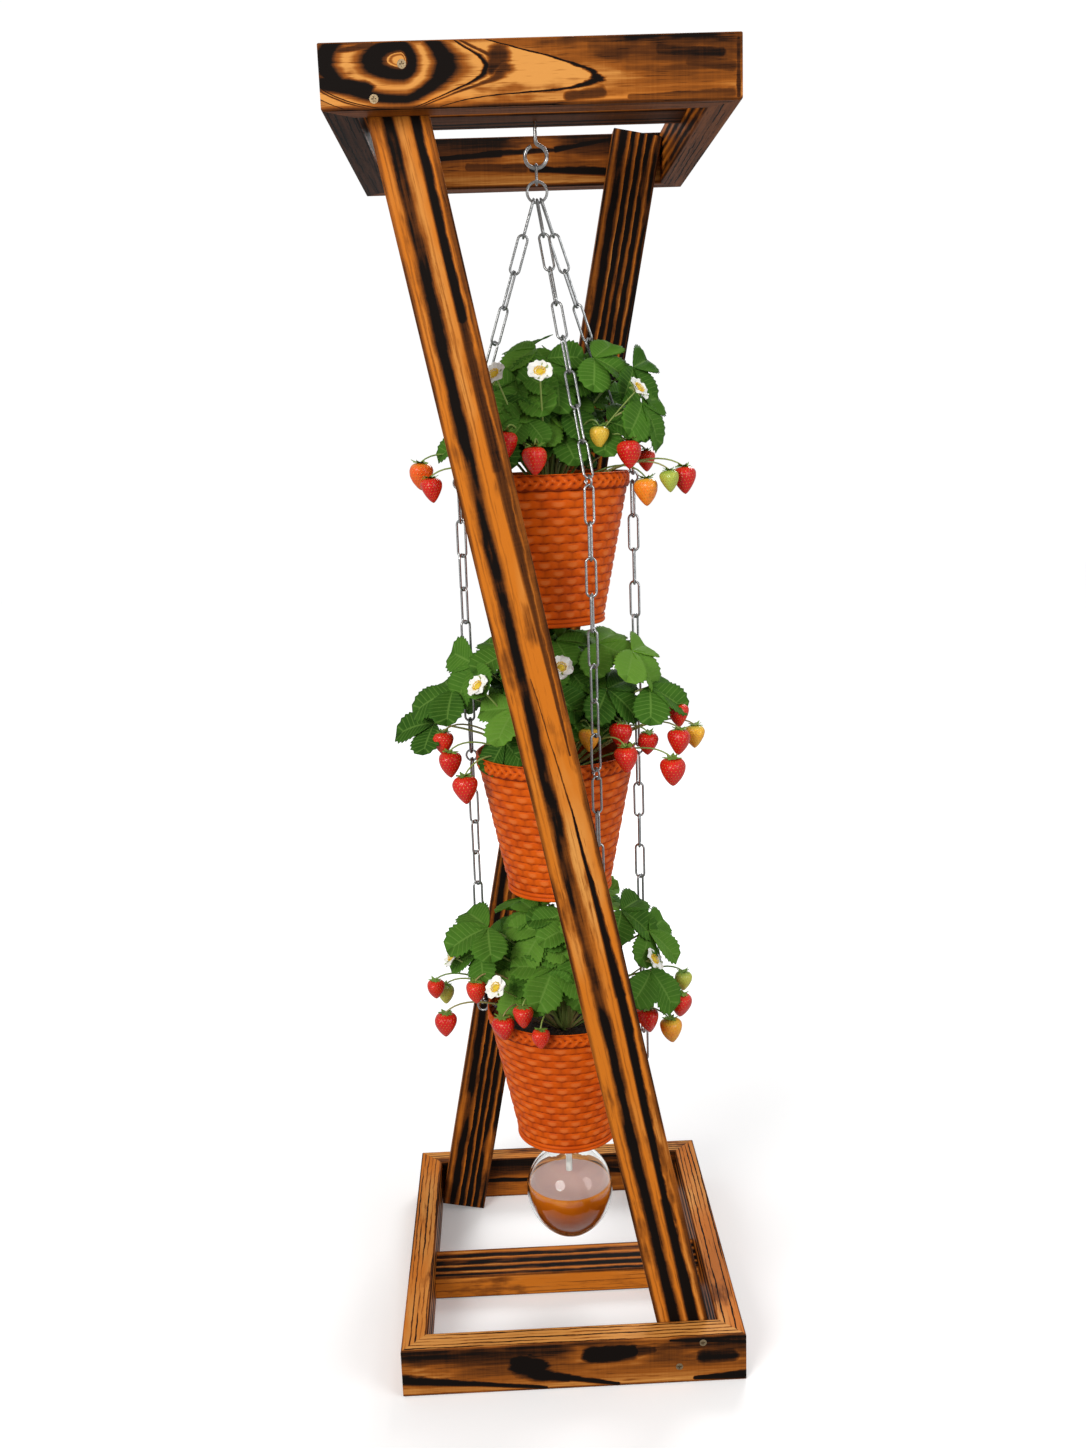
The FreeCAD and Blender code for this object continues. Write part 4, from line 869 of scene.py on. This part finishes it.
def leaf_skin(name, dark, mid, light, vein, gloss):
    """A blade with a pale midrib and a vein to each tooth."""
    t = Tree(name)
    along, out, _ = t.uv()
    tone = t.tone()
    patch = t.mottle(60.0)
    # The tone holds each blade's own colour, and on leaves also painted shade that darkens the lower,
    # inner ones
    shade = t.plus(tone, t.times(t.minus(patch, 0.5), 0.5), clamp=True)
    colour = t.ramp(shade, ((0.0, dark), (0.5, mid), (1.0, light)))
    off = t.calc("ABSOLUTE", t.minus(t.calc("FRACT", along), 0.5))
    side = t.span(off, 0.02, 0.15, 1.0, 0.0)
    rib = t.span(out, 0.02, 0.1, 1.0, 0.0)
    line = t.larger(rib, t.times(side, t.span(out, 0.75, 1.0, 0.8, 0.1)))
    colour = t.mix(t.times(line, 0.55), colour, vein)
    net = t.cells(t.object_point(), 620.0)
    height = t.minus(t.times(net, 0.35), t.times(line, 0.8))
    t.set(Base_Color=colour, Roughness=t.span(patch, 0.3, 0.7, gloss, gloss + 0.14))
    t.set(Normal=t.bump(height, 0.4, 0.0008), Specular_IOR_Level=0.07)
    return t


def stalk_skin():
    t = Tree("stalk")
    tone = t.tone()
    grain = t.noise(t.scaled(t.object_point(), (1, 1, 0.2)), 500.0, 2.0, 0.6)
    colour = t.ramp(tone, (
        (0.0, (0.11, 0.2, 0.03)), (0.55, (0.24, 0.33, 0.07)), (1.0, (0.33, 0.22, 0.09)),
    ))
    colour = t.mix(t.span(grain, 0.4, 0.75, 0.0, 0.5), colour, (0.3, 0.36, 0.12))
    t.set(Base_Color=colour, Roughness=0.55, Normal=t.bump(grain, 0.3, 0.0005))
    return t


def berry_skin():
    """Glossy fruit, from green through orange to red, with a seed in each pit."""
    t = Tree("strawberry")
    around, down, _ = t.uv()
    ripe = t.tone()
    row = t.calc("FLOOR", down)
    shifted = t.times_plus(row, 0.5, around)
    across = t.minus(t.calc("FRACT", t.plus(shifted, 0.5)), 0.5)
    along = t.minus(t.calc("FRACT", down), 0.5)
    far = t.distance(t.times(across, 1.5), along)
    cloud = t.mottle(95.0)
    shade = t.times_plus(t.minus(cloud, 0.5), 0.22, ripe)
    shade = t.minus(shade, t.span(down, 0.0, 2.2, 0.16, 0.0), clamp=True)
    colour = t.ramp(shade, (
        (0.0, (0.3, 0.42, 0.06)), (0.18, (0.5, 0.5, 0.07)), (0.38, (0.8, 0.42, 0.03)),
        (0.58, (0.82, 0.15, 0.01)), (0.8, (0.74, 0.028, 0.008)), (1.0, (0.56, 0.009, 0.007)),
    ))
    colour = t.mix(t.span(far, 0.12, 0.19, 0.6, 0.0), colour, (0.7, 0.4, 0.07))
    pit = t.span(far, 0.1, 0.48)
    t.set(Base_Color=colour, Roughness=t.span(cloud, 0.3, 0.7, 0.2, 0.32))
    t.set(Normal=t.bump(pit, 0.5, 0.001))
    t.set(Specular_IOR_Level=0.32, Coat_Weight=0.1, Coat_Roughness=0.1)
    return t


def petal_skin():
    t = Tree("petal")
    out = t.uv()[1]
    streak = t.noise(t.scaled(t.add("TexCoord", out="UV"), (26.0, 2.0, 0.0)), 1.0, 3.0, 0.6)
    colour = t.mix(t.span(streak, 0.35, 0.75), (0.92, 0.92, 0.88), (0.8, 0.81, 0.74))
    colour = t.mix(t.span(out, 0.0, 0.35, 0.5, 0.0), colour, (0.8, 0.84, 0.45))
    t.set(Base_Color=colour, Roughness=0.6, Normal=t.bump(streak, 0.3, 0.0005))
    return t


def heart_skin():
    t = Tree("flower_heart")
    grain = t.cells(t.object_point(), 900.0)
    tone = t.tone()
    share = t.plus(tone, t.times(grain, 0.3), clamp=True)
    colour = t.mix(share, (0.62, 0.5, 0.04), (0.86, 0.55, 0.02))
    t.set(Base_Color=colour, Roughness=0.7, Normal=t.bump(grain, 0.7, 0.0008))
    return t


leaf_trees = [
    leaf_skin("leaf_face", (0.005, 0.024, 0.001), (0.034, 0.135, 0.003), (0.15, 0.36, 0.01),
              (0.13, 0.29, 0.014), 0.36),
    leaf_skin("leaf_back", (0.026, 0.085, 0.008), (0.062, 0.165, 0.016), (0.12, 0.26, 0.03),
              (0.15, 0.28, 0.05), 0.62),
]
stem = stalk_skin()
sepal = leaf_skin("sepal", (0.035, 0.11, 0.01), (0.105, 0.235, 0.022), (0.22, 0.36, 0.05),
                  (0.22, 0.34, 0.07), 0.5)
fruit_trees, blossom_trees = [berry_skin(), sepal, stem], [petal_skin(), heart_skin(), stem]
for index, tier in enumerate(TIERS):
    rng = random.Random(70 + index)
    leaves, stalks = foliage(tier, leaf_trees, [stem], rng)
    berries = fruit(tier, fruit_trees, rng)
    flowers = blossom(tier, blossom_trees, rng)
    pieces = ((leaves, "leaves", "leaf"), (stalks, None, "leaf"),
              (berries, "berries", "berry"), (flowers, "flowers", "petal"))
    for piece, node, finish in pieces:
        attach(piece, tier + "_tier")
        if node:
            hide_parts(tier + "_" + node)


# Drip globe
GLOBE_RADIUS, GLOBE_WALL, NECK_RADIUS, NECK_TOP = 0.055, 0.0025, 0.017, 0.0783
GLOBE_FOOT, FLANK_RADIUS, SHOULDER, SHOULDER_RISE = -0.057, 0.06915, 0.006, 0.008
FOOT_ROUND, WATER_LINE, WATER_GAP, WATER_EDGE, AXIS_GAP = 0.0015, 0.01, 0.0002, 0.002, 0.0004


def globe_centre():
    low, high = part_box("globe")
    return ((low.x + high.x) / 2, (low.y + high.y) / 2, high.z - NECK_TOP)


def globe_profile(inset):
    """Outline from the foot up, moved in by inset: foot, flank, bowl, shoulder and neck."""
    foot, flank = GLOBE_FOOT + inset, FLANK_RADIUS - inset
    arc = np.linspace(math.asin(foot / flank), 0, 18)
    points = [(GLOBE_RADIUS - FLANK_RADIUS + flank * math.cos(a), flank * math.sin(a)) for a in arc]
    points = [(AXIS_GAP, foot), (points[0][0] - FOOT_ROUND, foot)] + points
    bowl, neck = GLOBE_RADIUS - inset, NECK_RADIUS - inset
    end = math.acos((neck + SHOULDER) / bowl)
    points += [(bowl * math.cos(a), bowl * math.sin(a)) for a in np.linspace(0, end, 18)[1:]]
    base = points[-1][1]
    for share in (0.3, 0.6, 1.0):
        points.append((neck + SHOULDER * (1 - share) ** 2, base + SHOULDER_RISE * share))
    points.append((neck, NECK_TOP))
    return points


def glass_and_water():
    centre = globe_centre()
    inner = globe_profile(GLOBE_WALL)
    verts, faces = lathe(globe_profile(0.0) + inner[::-1], 96, centre)
    shell = mesh_piece("globe_glass", verts, faces, [clear_glass()])
    wet = [(r, z) for r, z in inner if z < WATER_LINE - WATER_EDGE]
    fill = [(max(r - WATER_GAP, 0.0002), z + WATER_GAP) for r, z in wet]
    edge = fill[-1][0]
    fill += [(edge, WATER_LINE), (0.93 * edge, WATER_LINE), (AXIS_GAP, WATER_LINE)]
    verts, faces = lathe(fill, 96, centre)
    water = mesh_piece("globe_fill", verts, faces, [amber_water()])
    return shell, water


def clear_glass():
    t = Tree("clear_glass")
    haze = t.mottle(40.0)
    ripple = t.mottle(14.0, 1.0, 0.5)
    t.set(Base_Color=t.mix(haze, (0.94, 0.97, 0.96), (0.98, 0.99, 0.99)))
    t.set(Roughness=t.span(haze, 0.5, 0.8, 0.005, 0.05))
    t.set(Transmission_Weight=1.0, IOR=1.3, Normal=t.bump(ripple, 0.06, 0.002))
    return t


def amber_water():
    t = Tree("amber_water")
    swirl = t.noise(t.object_point(), 32.0, 3.0, 0.6, 0.6)
    middle_z = globe_centre()[2]
    height = t.split(t.object_point())[2]
    level = t.span(height, middle_z + GLOBE_FOOT, middle_z + WATER_LINE, smooth=False)
    level = t.times_plus(t.minus(swirl, 0.5), 0.25, level)
    # Painted shade: the water is darker towards the bottom of the globe and brightest just under its
    # surface
    depth_shade = t.ramp(level, (
        (0.0, (0.1, 0.016, 0.002)), (0.5, (0.34, 0.06, 0.003)),
        (0.88, (0.56, 0.125, 0.005)), (1.0, (0.84, 0.27, 0.02)),
    ))
    # Painted reflection: the top face of the water, where it faces up, is mixed towards pale blue-white
    surface = t.span(t.facing_up(), 0.86, 0.98, 0.0, 0.5)
    t.set(Base_Color=t.mix(surface, depth_shade, (0.7, 0.74, 0.86)), Roughness=0.03)
    t.set(Transmission_Weight=0.06, IOR=1.33, Specular_IOR_Level=0.12)
    t.set(Normal=t.bump(swirl, 0.04, 0.002))
    return t


shell, water = glass_and_water()
for piece, node, finish in ((shell, "globe", "clear_glass"), (water, "globe_water", "water")):
    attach(piece, "globe")
    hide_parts(node)


# Steel and plastic
def metal(name, base, worn, rough):
    t = Tree(name)
    bloom = t.mottle(260.0, 4.0, 0.6)
    scratch = t.noise(t.scaled(t.object_point(), (1, 1, 0.15)), 1500.0, 2.0, 0.6)
    t.set(Base_Color=t.mix(t.span(bloom, 0.4, 0.72), base, worn), Metallic=1.0)
    t.set(Roughness=t.span(bloom, 0.3, 0.7, rough - 0.06, rough + 0.12))
    t.set(Normal=t.bump(scratch, 0.12, 0.0003))
    return t


def plastic(name, base, other, rough):
    t = Tree(name)
    cloud = t.mottle(150.0)
    t.set(Base_Color=t.mix(t.span(cloud, 0.35, 0.7), base, other), Normal=t.bump(cloud, 0.1, 0.0004))
    t.set(Roughness=t.span(cloud, 0.3, 0.7, rough, rough + 0.12))
    return t


finishes = {
    "steel_chain": metal("galvanised", (0.42, 0.43, 0.43), (0.25, 0.26, 0.26), 0.28),
    "steel_screw": metal("zinc_screw", (0.36, 0.27, 0.16), (0.18, 0.12, 0.07), 0.36),
    "collar_plastic": plastic("collar_grey", (0.4, 0.41, 0.4), (0.52, 0.53, 0.52), 0.45),
    "tube_plastic": plastic("tube_white", (0.8, 0.81, 0.78), (0.66, 0.68, 0.66), 0.3),
}
for part in frame["record"]["subparts"]:
    if part["material_slot"] in finishes:
        paint(nodes[part["node"]], finishes[part["material_slot"]])


# Studio: pale floor, soft lights, and the camera of the photograph
FLOOR_HALF, FLOOR_Z = 9.0, -0.0005
ROOM_LIGHT, BACKDROP_LIGHT = 0.5, 1.02


def pale_floor():
    t = Tree("pale_floor")
    cloud = t.mottle(3.0, 3.0, 0.5)
    t.set(Base_Color=t.mix(cloud, (0.84, 0.84, 0.84), (0.87, 0.87, 0.87)))
    t.set(Roughness=0.85, Specular_IOR_Level=0.1)
    # Painted light: the floor glows, weaker near the stand so that a painted shade lies round it
    out = t.add("VectorMath", {0: t.object_point()}, out="Value", operation="LENGTH")
    t.set(Emission_Color=(1.0, 1.0, 1.0), Emission_Strength=t.span(out, 0.35, 2.2, 0.16, 0.57))
    return t


corners = [(x * FLOOR_HALF, y * FLOOR_HALF, FLOOR_Z) for x, y in ((-1, -1), (1, -1), (1, 1), (-1, 1))]
floor = mesh_piece("floor", corners, [(0, 1, 2, 3)], [pale_floor()])
floor.visible_diffuse = floor.visible_glossy = False

world = bpy.data.worlds.new("studio")
world.use_nodes = True
# The camera sees a brighter room than the one that lights the stand
sky = world.node_tree
backdrop = sky.nodes["Background"]
backdrop.inputs["Color"].default_value = (1.0, 1.0, 1.0, 1.0)
sight = sky.nodes.new("ShaderNodeLightPath")
strength = sky.nodes.new("ShaderNodeMapRange")
strength.inputs["To Min"].default_value = ROOM_LIGHT
strength.inputs["To Max"].default_value = BACKDROP_LIGHT
sky.links.new(sight.outputs["Is Camera Ray"], strength.inputs["Value"])
sky.links.new(strength.outputs["Result"], backdrop.inputs["Strength"])
bpy.context.scene.world = world
bpy.context.scene.view_settings.view_transform = "Standard"


def soft_light(name, place, target, size, power, colour):
    lamp = bpy.data.lights.new(name, "AREA")
    lamp.shape = "DISK"
    lamp.size = size
    lamp.energy = power
    lamp.color = colour
    obj = bpy.data.objects.new(name, lamp)
    obj.location = place
    obj.rotation_euler = (Vector(target) - Vector(place)).to_track_quat("-Z", "Y").to_euler()
    bpy.context.scene.collection.objects.link(obj)


soft_light("key", (-2.3, -3.7, 2.5), (0, 0, 0.7), size=2.4, power=165.0, colour=(1.0, 0.98, 0.95))
soft_light("fill", (2.3, -1.9, 1.5), (0, 0, 0.7), size=1.8, power=34.0, colour=(0.97, 0.98, 1.0))
soft_light("back", (0.8, 2.2, 2.4), (0, 0, 0.9), size=1.4, power=40.0, colour=(1.0, 1.0, 1.0))


def photo_camera(place, yaw, pitch, roll, lens):
    ahead = Vector((math.sin(yaw) * math.cos(pitch), math.cos(yaw) * math.cos(pitch), math.sin(pitch)))
    level = Vector((math.cos(yaw), -math.sin(yaw), 0.0))
    upright = level.cross(ahead)
    right = math.cos(roll) * level + math.sin(roll) * upright
    up = -math.sin(roll) * level + math.cos(roll) * upright
    data = bpy.data.cameras.new("photo_view")
    data.sensor_width = 36.0
    data.lens = lens
    data.clip_end = 60.0
    obj = bpy.data.objects.new("photo_view", data)
    obj.matrix_world = Matrix.Translation(place) @ Matrix((right, up, -ahead)).transposed().to_4x4()
    bpy.context.scene.collection.objects.link(obj)
    bpy.context.scene.camera = obj


photo_camera(
    place=(-0.044, -1.57, 1.077), yaw=math.radians(1.41), pitch=math.radians(-11.95),
    roll=math.radians(-2.0), lens=32.99,
)
